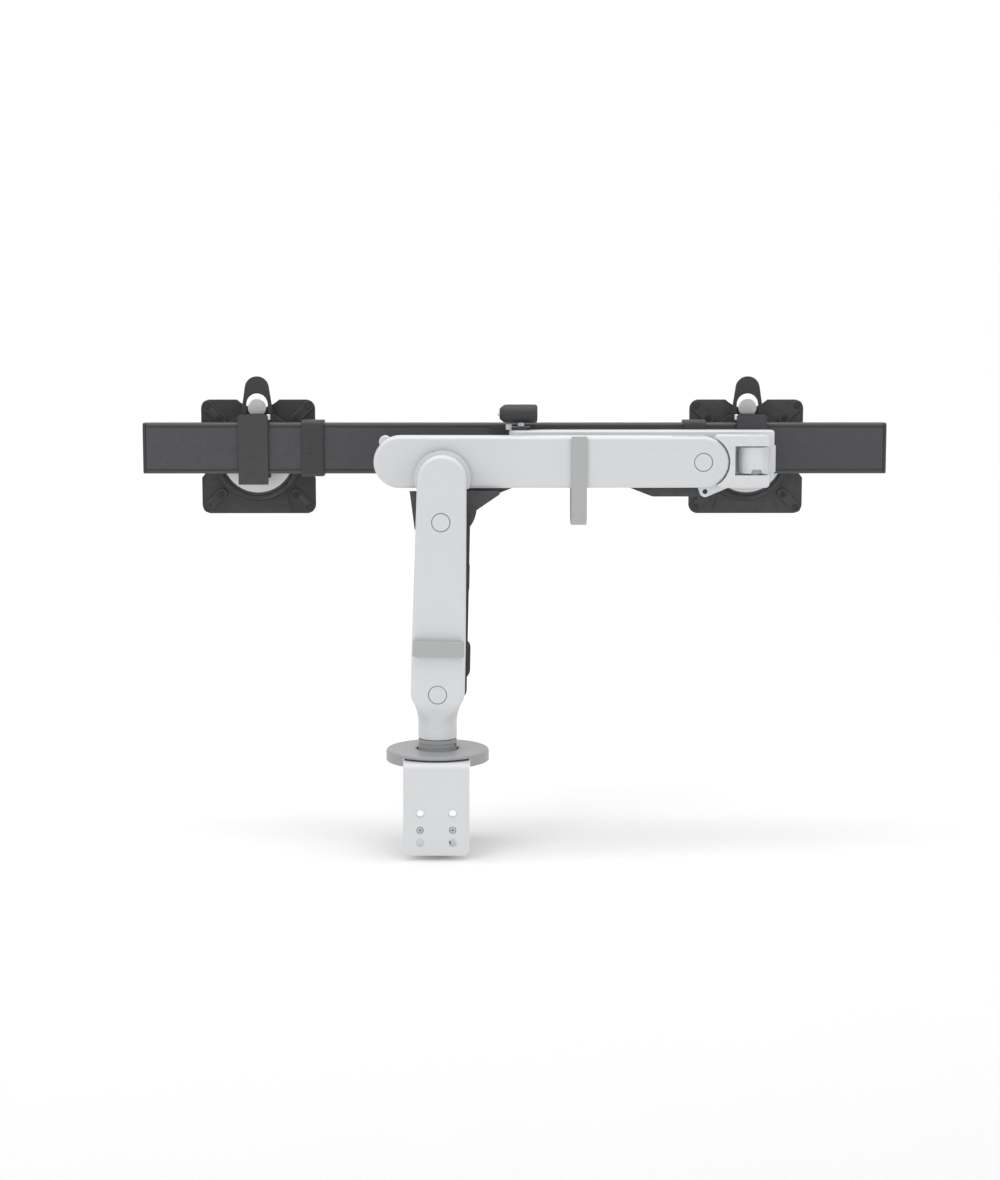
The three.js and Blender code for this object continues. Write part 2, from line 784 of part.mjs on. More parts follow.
add(carrier, "carrier_pin", cylinderZ(4, lowLug[0] - 1, topLug[1] - 0.4), finish.steel);

const handle = group(carrier, 0, 0, topLug[1] + 0.3);
const gripRadius = 8.9;
const gripZ = gripRadius + 3.5;
add(handle, "lock_stem", cylinderZ(3.6, 0, gripZ - 4.2), finish.steel);
add(
  handle,
  "lock_handle",
  cut(
    turned([
      [0, -20.7],
      [gripRadius - 3.4, -20.7],
      [gripRadius, -16],
      [gripRadius, 14],
      [gripRadius - 1.8, 15.8],
      [0, 15.8],
    ]).rotateY(Math.PI / 2).translate(0, 0, gripZ),
    cylinderZ(3.9, -5, gripZ - 3.9),
  ),
  finish.dark,
);
add(handle, "handle_rivet", cylinderX(2, -22.4, -20.7 - gap, 0, gripZ, 16), finish.silver);

// ---------------------------------------------------------------- crossbar
const bar = group(
  carrier,
  barCentre.x - (kneeX + armLength + swivel.x - foldReach),
  barCentre.y - carrierWorld.y,
  barCentre.z - carrierWorld.z,
);
const barHalf = barLength / 2;
const grooves = [-1, 1].flatMap((face) =>
  [-1, 1].map((end) => {
    const y = face * barHalfY;
    const z = end * (barHalfZ - 3.8);
    return box(-500, 500, y - 0.8, y + 0.8, z - 0.7, z + 0.7);
  }),
);
add(
  bar,
  "crossbar",
  cut(
    alongX(rounded(-barHalfY, -barHalfZ, barHalfY, barHalfZ, 2.6), -barHalf, barHalf),
    ...grooves,
    box(-500, 500, -barHalfY + 2.5, barHalfY - 2.5, 7, barHalfZ - 3),
    box(-500, 500, -barHalfY + 2.5, barHalfY - 2.5, -barHalfZ + 3, -7),
  ),
  finish.bar,
);
for (const [side, name, clipCentre] of [[-1, "left", -196.35], [1, "right", 174.55]]) {
  const capStart = side < 0 ? -barHalf - gap - 2.9 : barHalf + gap;
  add(
    bar,
    "bar_end_cap_" + name,
    alongX(rounded(-barHalfY, -barHalfZ, barHalfY, barHalfZ, 2.6), capStart, capStart + 2.9),
    finish.dark,
  );
  add(
    group(bar, clipCentre),
    "bar_clip_" + name,
    cut(
      alongX(rounded(-barHalfY - 2.7, -barHalfZ - 2.7, barHalfY + 2.7, barHalfZ + 2.7, 4.5), -10.8, 10.8),
      box(-20, 20, -barHalfY - gap, barHalfY + gap, -barHalfZ - gap, barHalfZ + gap),
      box(-20, 20, 0, 20, -14, 14),
    ),
    finish.dark,
  );
}

// ---------------------------------------------------------------- the two heads
const hookSection = polygon(
  [-barHalfY - 3.7, -35.1],
  [-barHalfY - gap, -35.1],
  [-barHalfY - gap, barHalfZ + gap],
  [barHalfY + 0.4, barHalfZ + gap],
  [barHalfY + 0.4, -30],
  [barHalfY + 4, -30],
  [barHalfY + 4, barHalfZ + 3.9],
  [-barHalfY - gap, barHalfZ + 3.9],
  [-barHalfY - gap, 32.7],
  [-barHalfY - 3.7, 32.7],
);
const lugReach = tiltAxis.y - barHalfY;

function vesaPlate() {
  const corners = [[-1, -1], [1, -1], [1, 1], [-1, 1]];
  const holes = corners.flatMap(([sx, sz]) =>
    [37.5, 50].map((at) => cylinderY(2.2, 0, 30, sx * at, sz * at, 8)),
  );
  const pads = corners.map(([sx, sz]) =>
    alongY(barOutline(sx * 36.5, sz * 36.5, 5.3, sx * 50.2, sz * 50.2, 5.3), [11.9, 14], 0, 5),
  );
  const panelPlan = polygon([-32.5, -vesaHalf + 1], [32.5, -vesaHalf + 1], [26, -32], [-26, -32]);
  const panel = cut(alongY(panelPlan, [12.4, 14]), cylinderY(hubRadius + 0.8, 10, 13.35, 0, 0, 48));
  const scallops = [[-1, 0], [1, 0], [0, 1]].map(([sx, sz]) =>
    cylinderY(30, 10, 20, sx * 78, sz * 78, 32),
  );
  return cut(
    join(
      alongY(rounded(-vesaHalf, -vesaHalf, vesaHalf, vesaHalf, 9), [13.4, 16.4]),
      ...pads,
      panel,
    ),
    ...holes,
    ...scallops,
    cylinderY(6.4, 0, 30),
  );
}

function leverOutline() {
  const shape = new THREE.Shape();
  shape.moveTo(-15.4, 42.3);
  shape.lineTo(-10.6, 42.3);
  shape.lineTo(-10.6, 52);
  shape.absarc(0, 52, 10.6, Math.PI, 0, true);
  shape.lineTo(10.6, 42.3);
  shape.lineTo(15.4, 42.3);
  shape.lineTo(11.9, 67.6);
  shape.absarc(0, 67.6, 11.9, 0, Math.PI, false);
  shape.closePath();
  return shape;
}

for (const name of ["left", "right"]) {
  const slider = group(bar, headX[name] - barCentre.x);
  const lugs = [-1, 1].map((side) =>
    alongX(
      barOutline(barHalfY + 3, tiltAxis.z, 7, tiltAxis.y, tiltAxis.z, 6.5),
      side > 0 ? 10.5 : -hookHalf,
      side > 0 ? hookHalf : -10.5,
      0,
      8,
    ),
  );
  add(
    slider,
    "bar_hook_" + name,
    join(
      alongX(hookSection, -hookHalf, hookHalf),
      common(join(...lugs), box(-20, 20, barHalfY + 1, 60, -40, 40)),
      cylinderX(2.5, -hookHalf + 1, hookHalf - 1, tiltAxis.y, tiltAxis.z, 16),
    ),
    finish.dark,
  );
  const tilt = group(slider, 0, tiltAxis.y, tiltAxis.z);
  add(
    tilt,
    "tilt_yoke_" + name,
    cut(
      join(
        cylinderX(6, -10.2, 10.2, 0, 0, 20),
        box(-10.2, 10.2, 0, 9, -5, 5),
        cylinderY(hubRadius, 8.5, 13, 0, 0, 40),
        alongY(polygon([-28.5, 30], [28.5, 30], [28.5, 33.4], [17, 42], [-17, 42], [-28.5, 33.4]), [4, 9]),
        cylinderY(6, 12, 16),
      ),
      cylinderX(2.8, -20, 20, 0, 0, 16),
    ),
    finish.dark,
  );
  add(
    tilt,
    "hub_disc_" + name,
    cut(
      cylinderY(35.2, 7.1, 8.2, 0, 0, 40),
      cylinderY(13, 0, 10),
      box(-30, 30, 0, 10, 29.6, 60),
    ),
    finish.silver,
  );
  add(
    tilt,
    "lever_tongue_" + name,
    common(
      cylinderY(9.1, 4.2, 7, 0, 48.5, 20),
      box(-10, 10, 0, 10, 42.4, 60),
    ),
    finish.silver,
  );
  add(
    tilt,
    "vesa_plate_" + name,
    vesaPlate(),
    finish.dark,
  );
  add(tilt, "release_lever_" + name, alongY(leverOutline(), [3.6, 7.8]), finish.dark);
}

export default root;
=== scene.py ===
import json
import math

import bmesh
import bpy
from mathutils import Matrix, Vector


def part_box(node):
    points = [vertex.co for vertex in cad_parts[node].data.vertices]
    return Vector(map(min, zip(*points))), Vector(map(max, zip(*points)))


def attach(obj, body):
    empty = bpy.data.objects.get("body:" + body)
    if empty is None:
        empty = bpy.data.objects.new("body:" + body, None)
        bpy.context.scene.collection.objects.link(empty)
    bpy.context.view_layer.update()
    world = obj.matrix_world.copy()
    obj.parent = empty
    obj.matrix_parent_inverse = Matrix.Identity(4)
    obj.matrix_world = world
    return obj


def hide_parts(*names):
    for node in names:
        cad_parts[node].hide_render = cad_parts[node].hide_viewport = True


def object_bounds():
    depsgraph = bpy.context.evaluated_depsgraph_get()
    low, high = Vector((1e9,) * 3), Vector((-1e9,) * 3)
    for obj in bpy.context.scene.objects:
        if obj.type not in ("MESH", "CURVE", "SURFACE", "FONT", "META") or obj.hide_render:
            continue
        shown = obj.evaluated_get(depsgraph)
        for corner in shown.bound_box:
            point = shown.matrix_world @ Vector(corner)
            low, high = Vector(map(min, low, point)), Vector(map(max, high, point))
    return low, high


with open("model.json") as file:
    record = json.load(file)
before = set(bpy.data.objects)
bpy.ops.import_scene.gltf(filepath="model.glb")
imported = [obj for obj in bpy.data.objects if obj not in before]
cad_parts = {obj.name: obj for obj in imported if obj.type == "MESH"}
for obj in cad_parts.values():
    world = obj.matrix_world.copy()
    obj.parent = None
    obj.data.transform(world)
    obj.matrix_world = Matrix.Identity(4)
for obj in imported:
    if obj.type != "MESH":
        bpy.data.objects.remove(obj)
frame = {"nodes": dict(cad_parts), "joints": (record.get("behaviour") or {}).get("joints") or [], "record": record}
nodes = frame["nodes"]
cad_box = [list(corner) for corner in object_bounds()]
scene = bpy.context.scene

MM = 0.001
GAP = 0.3  # between pieces that touch

# ---------------------------------------------------------------- places taken from the frame
pivot = {j["name"]: Vector(j["pos_m"]) / MM for j in frame["joints"] if j.get("pos_m")}


def span(node):
    low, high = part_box(node)
    return Vector(low) / MM, Vector(high) / MM


foot_pivot = pivot["lower_tilt"]
knee_low = pivot["knee_level"]
knee_top = pivot["upper_tilt"]
wrist_pivot = pivot["wrist_level"]
wrist_swivel = pivot["front_swivel"]
bar_swivel = pivot["bar_swivel"]
lean = math.atan2(knee_low.x - foot_pivot.x, knee_low.z - foot_pivot.z)
link_length = math.hypot(knee_low.x - foot_pivot.x, knee_low.z - foot_pivot.z)
arm_length = wrist_pivot.x - knee_top.x

link_low, link_high = span("lower_link_shell")
arm_low, arm_high = span("upper_arm_shell")
bracket_low, bracket_high = span("clamp_bracket")
cover_high = span("base_cover")[1]
fold_low, fold_high = span("front_link")
bar_low, bar_high = span("crossbar")

LINK_FOOT_RADIUS = 25.3
LINK_TOP_RADIUS = 22.9
LINK_TAIL = 38.7
LINK_SEAM = 43.6
ARM_END_RADIUS = 24.4
ARM_WRIST_RADIUS = 24.0
ARM_TAIL = 39.7
CAP_RECESS = 8.9
CAP_SEAT = 2.4  # how deep a pivot cap sits in its recess
PIN_BORE = 5.3
EDGE_ROUND = 3.4
NECK_RADIUS = 18.4
ROD_DROP = (2.3, -28.0)  # the upper rod's pivots, measured from the arm's pivots
EAR_RADIUS = 5.2
JAW_END = 62.4
HUB_RADIUS = 42.8
INNER_HOLE, OUTER_HOLE = 37.5, 50  # from the plate's middle, along both its sides

# Levels of the foot's flare: height, half width, share turned from round to square
FLARE = [
    (32, 18.4, 0),
    (38, 18.42, 0.06),
    (45, 19.1, 0.36),
    (52, 20.4, 0.82),
    (57.2, 22.2, 1),
    (61.5, 24.5, 1),
    (65.8, LINK_FOOT_RADIUS, 1),
]


# ---------------------------------------------------------------- outlines, as lists of (u, v) points
def arc(u, v, radius, start, end, steps):
    turn = [start + (end - start) * i / steps for i in range(steps + 1)]
    return [(u + radius * math.cos(a), v + radius * math.sin(a)) for a in turn]


def rounded(u0, v0, u1, v1, radius, steps=8):
    quarter = math.pi / 2
    corners = [
        (u1 - radius, v0 + radius),
        (u1 - radius, v1 - radius),
        (u0 + radius, v1 - radius),
        (u0 + radius, v0 + radius),
    ]
    points = []
    for i, (u, v) in enumerate(corners):
        points += arc(u, v, radius, (i - 1) * quarter, i * quarter, steps)
    return points


def tapered(ua, va, ra, ub, vb, rb, steps=32):
    """The outline round two circles and the straight sides between them."""
    along = math.atan2(vb - va, ub - ua)
    spread = math.acos((ra - rb) / math.hypot(ub - ua, vb - va))
    first = arc(ua, va, ra, along + spread, along - spread + 2 * math.pi, steps)
    return first + arc(ub, vb, rb, along - spread, along + spread, steps)


# ---------------------------------------------------------------- solids, as meshes in millimetres
def to_mesh(shape):
    bmesh.ops.remove_doubles(shape, verts=shape.verts, dist=1e-4)
    bmesh.ops.recalc_face_normals(shape, faces=shape.faces)
    mesh = bpy.data.meshes.new("solid")
    shape.to_mesh(mesh)
    shape.free()
    return mesh


def prism(outline, start, end, axis, edge=0.0, steps=4):
    """An outline drawn out along an axis, with its two rims rounded by edge."""
    spot = {
        "X": lambda u, v, w: (w, u, v),
        "Y": lambda u, v, w: (u, w, v),
        "Z": lambda u, v, w: (u, v, w),
    }[axis]
    shape = bmesh.new()
    near = [shape.verts.new(spot(u, v, start)) for u, v in outline]
    far = [shape.verts.new(spot(u, v, end)) for u, v in outline]
    shape.faces.new(near)
    shape.faces.new(far)
    for i in range(len(outline)):
        j = (i + 1) % len(outline)
        shape.faces.new((near[i], near[j], far[j], far[i]))
    bmesh.ops.remove_doubles(shape, verts=shape.verts, dist=1e-4)
    bmesh.ops.recalc_face_normals(shape, faces=shape.faces)
    if edge:
        rims = [e for e in shape.edges if any(len(f.verts) > 4 for f in e.link_faces)]
        bmesh.ops.bevel(
            shape, geom=rims, offset=edge, segments=steps, profile=0.5, affect="EDGES", clamp_overlap=True
        )
    return to_mesh(shape)


def drum(radius, start, end, axis, u=0.0, v=0.0, steps=48, edge=0.0):
    circle = arc(u, v, radius, 0, 2 * math.pi, steps)[:-1]
    return prism(circle, start, end, axis, edge, 3)


def block(x0, x1, y0, y1, z0, z1):
    return prism([(x0, y0), (x1, y0), (x1, y1), (x0, y1)], z0, z1, "Z")


def turned(section, steps=96):
    """A half section of (radius, height) points, turned about the Z axis."""
    shape = bmesh.new()
    rings = []
    for i in range(steps):
        angle = 2 * math.pi * i / steps
        rings.append([shape.verts.new((r * math.cos(angle), r * math.sin(angle), z)) for r, z in section])
    for i in range(steps):
        one, two = rings[i], rings[(i + 1) % steps]
        for k in range(len(section)):
            n = (k + 1) % len(section)
            if section[k][0] or section[n][0]:
                shape.faces.new((one[k], two[k], two[n], one[n]))
    return to_mesh(shape)


def loft(outlines, heights):
    """A closed body through outlines of one length, one above another."""
    shape = bmesh.new()
    rows = [[shape.verts.new((u, v, z)) for u, v in outline] for outline, z in zip(outlines, heights)]
    shape.faces.new(list(reversed(rows[0])))
    shape.faces.new(rows[-1])
    count = len(rows[0])
    for below, above in zip(rows, rows[1:]):
        for i in range(count):
            j = (i + 1) % count
            shape.faces.new((below[i], below[j], above[j], above[i]))
    return to_mesh(shape)


def through(points, steps):
    """A smooth run of values through the given rows."""
    ends = [points[0]] + list(points) + [points[-1]]
    run = []
    for a, b, c, d in zip(ends, ends[1:], ends[2:], ends[3:]):
        for i in range(steps):
            t = i / steps
            run.append(tuple(
                0.5 * (
                    2 * q + (r - p) * t + (2 * p - 5 * q + 4 * r - s) * t**2 + (3 * q - p - 3 * r + s) * t**3
                )
                for p, q, r, s in zip(a, b, c, d)
            ))
    return run + [tuple(points[-1])]


def held(mesh):
    thing = bpy.data.objects.new("tool", mesh)
    scene.collection.objects.link(thing)
    return thing


def baked(thing):
    graph = bpy.context.evaluated_depsgraph_get()
    return bpy.data.meshes.new_from_object(thing.evaluated_get(graph))


def combined(operation, base, tools):
    for tool in tools:
        first, second = held(base), held(tool)
        modifier = first.modifiers.new("combine", "BOOLEAN")
        modifier.operation = operation
        modifier.solver = "EXACT"
        modifier.object = second
        base = baked(first)
        bpy.data.objects.remove(first)
        bpy.data.objects.remove(second)
    return base


def cut(base, *tools):
    return combined("DIFFERENCE", base, tools)


def join(base, *others):
    return combined("UNION", base, others)


def common(base, *others):
    return combined("INTERSECT", base, others)


def moved(mesh, x=0.0, y=0.0, z=0.0, turn=0.0, axis="Y"):
    mesh.transform(Matrix.Translation((x, y, z)) @ Matrix.Rotation(turn, 4, axis))
    return mesh


# ---------------------------------------------------------------- placing a piece on its body
def shaded(thing, edge=0.0, steps=2, sharp=34.0):
    """Breaks the sharp edges, keeps flat faces flat, and leaves a plain mesh."""
    if edge:
        bevel = thing.modifiers.new("edge", "BEVEL")
        bevel.width = edge * MM
        bevel.segments = steps
        bevel.limit_method = "ANGLE"
        bevel.angle_limit = math.radians(sharp)
        bevel.use_clamp_overlap = True
        bevel.miter_outer = "MITER_ARC"
    thing.data.shade_smooth()
    thing.data.set_sharp_from_angle(angle=math.radians(sharp))
    weighted = thing.modifiers.new("faces", "WEIGHTED_NORMAL")
    weighted.keep_sharp = True
    mesh = baked(thing)
    thing.modifiers.clear()
    thing.data = mesh


def place(mesh, name, body, finish, stands_for=(), edge=0.0, steps=2):
    mesh.transform(Matrix.Scale(MM, 4))
    thing = bpy.data.objects.new(name, mesh)
    scene.collection.objects.link(thing)
    shaded(thing, edge, steps)
    thing.data.name = name
    thing.data.materials.clear()
    thing.data.materials.append(finishes[finish])
    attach(thing, body)
    if stands_for:
        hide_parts(*stands_for)
    return thing


def eased(node, name, body, finish, edge=0.5, steps=2, trims=()):
    """A copy of a CAD solid with its facets merged and its edges broken, less the given trims."""
    shape = bmesh.new()
    shape.from_mesh(nodes[node].data)
    bmesh.ops.scale(shape, vec=(1 / MM, 1 / MM, 1 / MM), verts=shape.verts)
    bmesh.ops.remove_doubles(shape, verts=shape.verts, dist=2e-3)
    bmesh.ops.dissolve_limit(
        shape, angle_limit=math.radians(1.5), verts=shape.verts, edges=shape.edges, delimit={"NORMAL"}
    )
    mesh = cut(to_mesh(shape), *trims)
    return place(mesh, name, body, finish, (node,), edge, steps)


# ---------------------------------------------------------------- shader groups that several finishes share
def wire(tree, source, target):
    tree.links.new(source, target)


def node_in(tree, kind, **settings):
    made = tree.nodes.new(kind)
    for key, value in settings.items():
        setattr(made, key, value)
    return made


def math_in(tree, operation, a, b):
    made = node_in(tree, "ShaderNodeMath", operation=operation)
    for socket, value in zip(made.inputs, (a, b)):
        if isinstance(value, (int, float)):
            socket.default_value = value
        else:
            wire(tree, value, socket)
    return made.outputs[0]


def new_group(name, inputs, outputs):
    tree = bpy.data.node_groups.new(name, "ShaderNodeTree")
    for label, kind, value in inputs:
        socket = tree.interface.new_socket(label, in_out="INPUT", socket_type=kind)
        if value is not None:
            socket.default_value = value
    for label, kind in outputs:
        tree.interface.new_socket(label, in_out="OUTPUT", socket_type=kind)
    return tree, tree.nodes.new("NodeGroupInput"), tree.nodes.new("NodeGroupOutput")


def coat_grain():
    """The fine orange peel of a sprayed coat, with broad, faint changes of tone."""
    tree, given, out = new_group(
        "coat grain",
        [
            ("Vector", "NodeSocketVector", None),
            ("Grain Scale", "NodeSocketFloat", 900.0),
            ("Tone", "NodeSocketFloat", 0.04),
            ("Roughness", "NodeSocketFloat", 0.4),
            ("Roughness Change", "NodeSocketFloat", 0.08),
        ],
        [("Tone", "NodeSocketFloat"), ("Roughness", "NodeSocketFloat"), ("Height", "NodeSocketFloat")],
    )
    fine = node_in(tree, "ShaderNodeTexNoise")
    fine.inputs["Detail"].default_value = 3.0
    wire(tree, given.outputs["Vector"], fine.inputs["Vector"])
    wire(tree, given.outputs["Grain Scale"], fine.inputs["Scale"])
    broad = node_in(tree, "ShaderNodeTexNoise")
    broad.inputs["Scale"].default_value = 14.0
    broad.inputs["Detail"].default_value = 5.0
    wire(tree, given.outputs["Vector"], broad.inputs["Vector"])
    swing = math_in(tree, "SUBTRACT", broad.outputs[0], 0.5)
    toned_swing = math_in(tree, "MULTIPLY", swing, given.outputs["Tone"])
    wire(tree, math_in(tree, "ADD", toned_swing, 1.0), out.inputs["Tone"])
    mixed = math_in(tree, "ADD", math_in(tree, "MULTIPLY", fine.outputs[0], 0.5), swing)
    rough = math_in(tree, "MULTIPLY", mixed, given.outputs["Roughness Change"])
    wire(tree, math_in(tree, "ADD", rough, given.outputs["Roughness"]), out.inputs["Roughness"])
    wire(tree, fine.outputs[0], out.inputs["Height"])
    return tree


def edge_marks_and_light():
    """How far a rounded edge is lightened, partly as scuffed paint and partly as painted highlight, and how far a
    hollow is darkened as painted shade.
    """
    tree, given, out = new_group(
        "edge marks and painted light",
        [
            ("Vector", "NodeSocketVector", None),
            ("Start", "NodeSocketFloat", 0.53),
            ("Amount", "NodeSocketFloat", 0.5),
            ("Patch Scale", "NodeSocketFloat", 160.0),
        ],
        [("Edge Scuff And Highlight", "NodeSocketFloat"), ("Hollow Shade", "NodeSocketFloat")],
    )
    shape = node_in(tree, "ShaderNodeNewGeometry")
    patch = node_in(tree, "ShaderNodeTexNoise")
    patch.inputs["Detail"].default_value = 6.0
    wire(tree, given.outputs["Vector"], patch.inputs["Vector"])
    wire(tree, given.outputs["Patch Scale"], patch.inputs["Scale"])
    # Edges lightened: partly scuffed paint, partly painted highlight.
    ridge = node_in(tree, "ShaderNodeMapRange")
    wire(tree, shape.outputs["Pointiness"], ridge.inputs["Value"])
    wire(tree, given.outputs["Start"], ridge.inputs["From Min"])
    wire(tree, math_in(tree, "ADD", given.outputs["Start"], 0.09), ridge.inputs["From Max"])
    broken = math_in(tree, "MULTIPLY", ridge.outputs[0], patch.outputs[0])
    wire(tree, math_in(tree, "MULTIPLY", broken, given.outputs["Amount"]), out.inputs["Edge Scuff And Highlight"])
    # Painted shade: hollows darkened, where less light reaches.
    dip = node_in(tree, "ShaderNodeMapRange")
    dip.inputs["From Min"].default_value = 0.48
    dip.inputs["From Max"].default_value = 0.42
    wire(tree, shape.outputs["Pointiness"], dip.inputs["Value"])
    wire(tree, dip.outputs[0], out.inputs["Hollow Shade"])
    return tree


def handling_marks():
    """Faint wiped streaks and fingertip smudges, which change only the gloss."""
    tree, given, out = new_group(
        "handling marks",
        [
            ("Vector", "NodeSocketVector", None),
            ("Streak Scale", "NodeSocketFloat", 40.0),
            ("Strength", "NodeSocketFloat", 0.06),
        ],
        [("Gloss Change", "NodeSocketFloat")],
    )
    stretch = node_in(tree, "ShaderNodeMapping")
    stretch.inputs["Scale"].default_value = (0.25, 1.0, 1.0)
    wire(tree, given.outputs["Vector"], stretch.inputs["Vector"])
    streak = node_in(tree, "ShaderNodeTexNoise")
    streak.inputs["Detail"].default_value = 8.0
    streak.inputs["Distortion"].default_value = 1.2
    wire(tree, stretch.outputs[0], streak.inputs["Vector"])
    wire(tree, given.outputs["Streak Scale"], streak.inputs["Scale"])
    centred = math_in(tree, "SUBTRACT", streak.outputs[0], 0.5)
    wire(tree, math_in(tree, "MULTIPLY", centred, given.outputs["Strength"]), out.inputs["Gloss Change"])
    return tree


def machining_lines():
    """Fine turning or brushing lines along one direction of a bare metal piece."""
    tree, given, out = new_group(
        "machining lines",
        [
            ("Vector", "NodeSocketVector", None),
            ("Stretch", "NodeSocketVector", (60.0, 60.0, 2400.0)),
            ("Roughness", "NodeSocketFloat", 0.28),
            ("Roughness Change", "NodeSocketFloat", 0.16),
        ],
        [("Tone", "NodeSocketFloat"), ("Roughness", "NodeSocketFloat"), ("Height", "NodeSocketFloat")],
    )
    stretch = node_in(tree, "ShaderNodeVectorMath", operation="MULTIPLY")
    wire(tree, given.outputs["Vector"], stretch.inputs[0])
    wire(tree, given.outputs["Stretch"], stretch.inputs[1])
    lines = node_in(tree, "ShaderNodeTexNoise")
    lines.inputs["Scale"].default_value = 1.0
    lines.inputs["Detail"].default_value = 4.0
    wire(tree, stretch.outputs[0], lines.inputs["Vector"])
    swing = math_in(tree, "SUBTRACT", lines.outputs[0], 0.5)
    wire(tree, math_in(tree, "ADD", math_in(tree, "MULTIPLY", swing, 0.18), 1.0), out.inputs["Tone"])
    rough = math_in(tree, "MULTIPLY", swing, given.outputs["Roughness Change"])
    wire(tree, math_in(tree, "ADD", rough, given.outputs["Roughness"]), out.inputs["Roughness"])
    wire(tree, lines.outputs[0], out.inputs["Height"])
    return tree


GRAIN, EDGE_MARKS_AND_LIGHT, MARKS, LINES = coat_grain(), edge_marks_and_light(), handling_marks(), machining_lines()


def placed_group(tree, group, place_vector, **values):
    made = node_in(tree, "ShaderNodeGroup", node_tree=group)
    wire(tree, place_vector, made.inputs["Vector"])
    for label, value in values.items():
        made.inputs[label.replace("_", " ")].default_value = value
    return made


def mixed_colour(tree, factor, a, b):
    made = node_in(tree, "ShaderNodeMix", data_type="RGBA")
    for socket, value in ((made.inputs[0], factor), (made.inputs[6], a), (made.inputs[7], b)):
        if isinstance(value, tuple):
            socket.default_value = (*value, 1.0)
        else:
            wire(tree, value, socket)
    return made.outputs[2]


def toned(tree, colour, tone):
    """A colour made a little lighter or darker by a tone that changes over the surface."""
    made = node_in(tree, "ShaderNodeVectorMath", operation="SCALE")
    made.inputs[0].default_value = colour
    wire(tree, tone, made.inputs["Scale"])
    return made.outputs[0]


def base_material(name):
    material = bpy.data.materials.new(name)
    material.use_nodes = True
    tree = material.node_tree
    shader = tree.nodes["Principled BSDF"]
    coordinates = node_in(tree, "ShaderNodeTexCoord")
    return material, tree, shader, coordinates.outputs["Object"]


def bumped(tree, shader, height, strength, distance):
    bump = node_in(tree, "ShaderNodeBump")
    bump.inputs["Strength"].default_value = strength
    bump.inputs["Distance"].default_value = distance
    wire(tree, height, bump.inputs["Height"])
    wire(tree, bump.outputs[0], shader.inputs["Normal"])


def coated(name, colour, edge_colour, roughness, grain, bump, wear_and_light=0.4, coat=0.0, metallic=0.0):
    """Paint or moulded plastic: grain, changes of tone, lighter edges that are partly scuffed paint and partly
    painted highlight, painted shade in hollows, handling marks.
    """
    material, tree, shader, where = base_material(name)
    grained = placed_group(tree, GRAIN, where, Grain_Scale=grain, Roughness=roughness)
    scuffs_and_painted_light = placed_group(tree, EDGE_MARKS_AND_LIGHT, where, Amount=wear_and_light)
    handled = placed_group(tree, MARKS, where)
    plain = toned(tree, colour, grained.outputs["Tone"])
    # Painted shade: hollows darkened towards 0.55 of the colour.
    shaded_colour = mixed_colour(
        tree,
        math_in(tree, "MULTIPLY", scuffs_and_painted_light.outputs["Hollow Shade"], 0.35),
        plain,
        tuple(c * 0.55 for c in colour),
    )
    # Edges lightened towards the edge colour: partly scuffed paint, partly painted highlight.
    wire(tree, mixed_colour(tree, scuffs_and_painted_light.outputs["Edge Scuff And Highlight"], shaded_colour, edge_colour), shader.inputs["Base Color"])
    gloss = math_in(tree, "ADD", grained.outputs["Roughness"], handled.outputs["Gloss Change"])
    wire(tree, gloss, shader.inputs["Roughness"])
    bumped(tree, shader, grained.outputs["Height"], bump, 0.0004)
    shader.inputs["Metallic"].default_value = metallic
    shader.inputs["Coat Weight"].default_value = coat
    shader.inputs["Coat Roughness"].default_value = 0.25
    return material


def bare_metal(name, colour, roughness, stretch, bump=0.08):
    material, tree, shader, where = base_material(name)
    lined = placed_group(tree, LINES, where, Roughness=roughness, Stretch=stretch)
    scuffs_and_painted_light = placed_group(tree, EDGE_MARKS_AND_LIGHT, where, Amount=0.5)
    handled = placed_group(tree, MARKS, where, Streak_Scale=120.0)
    plain = toned(tree, colour, lined.outputs["Tone"])
    # Painted shade: hollows darkened towards 0.4 of the colour.
    hollow = math_in(tree, "MULTIPLY", scuffs_and_painted_light.outputs["Hollow Shade"], 0.5)
    hollow_shaded = mixed_colour(tree, hollow, plain, tuple(c * 0.4 for c in colour))
    # Brighter edges: partly scuffed metal, partly painted highlight.
    bright = tuple(min(1.0, c * 1.15) for c in colour)
    wire(tree, mixed_colour(tree, scuffs_and_painted_light.outputs["Edge Scuff And Highlight"], hollow_shaded, bright), shader.inputs["Base Color"])
    gloss = math_in(tree, "ADD", lined.outputs["Roughness"], handled.outputs["Gloss Change"])
    wire(tree, gloss, shader.inputs["Roughness"])
    bumped(tree, shader, lined.outputs["Height"], bump, 0.0002)
    shader.inputs["Metallic"].default_value = 1.0
    return material


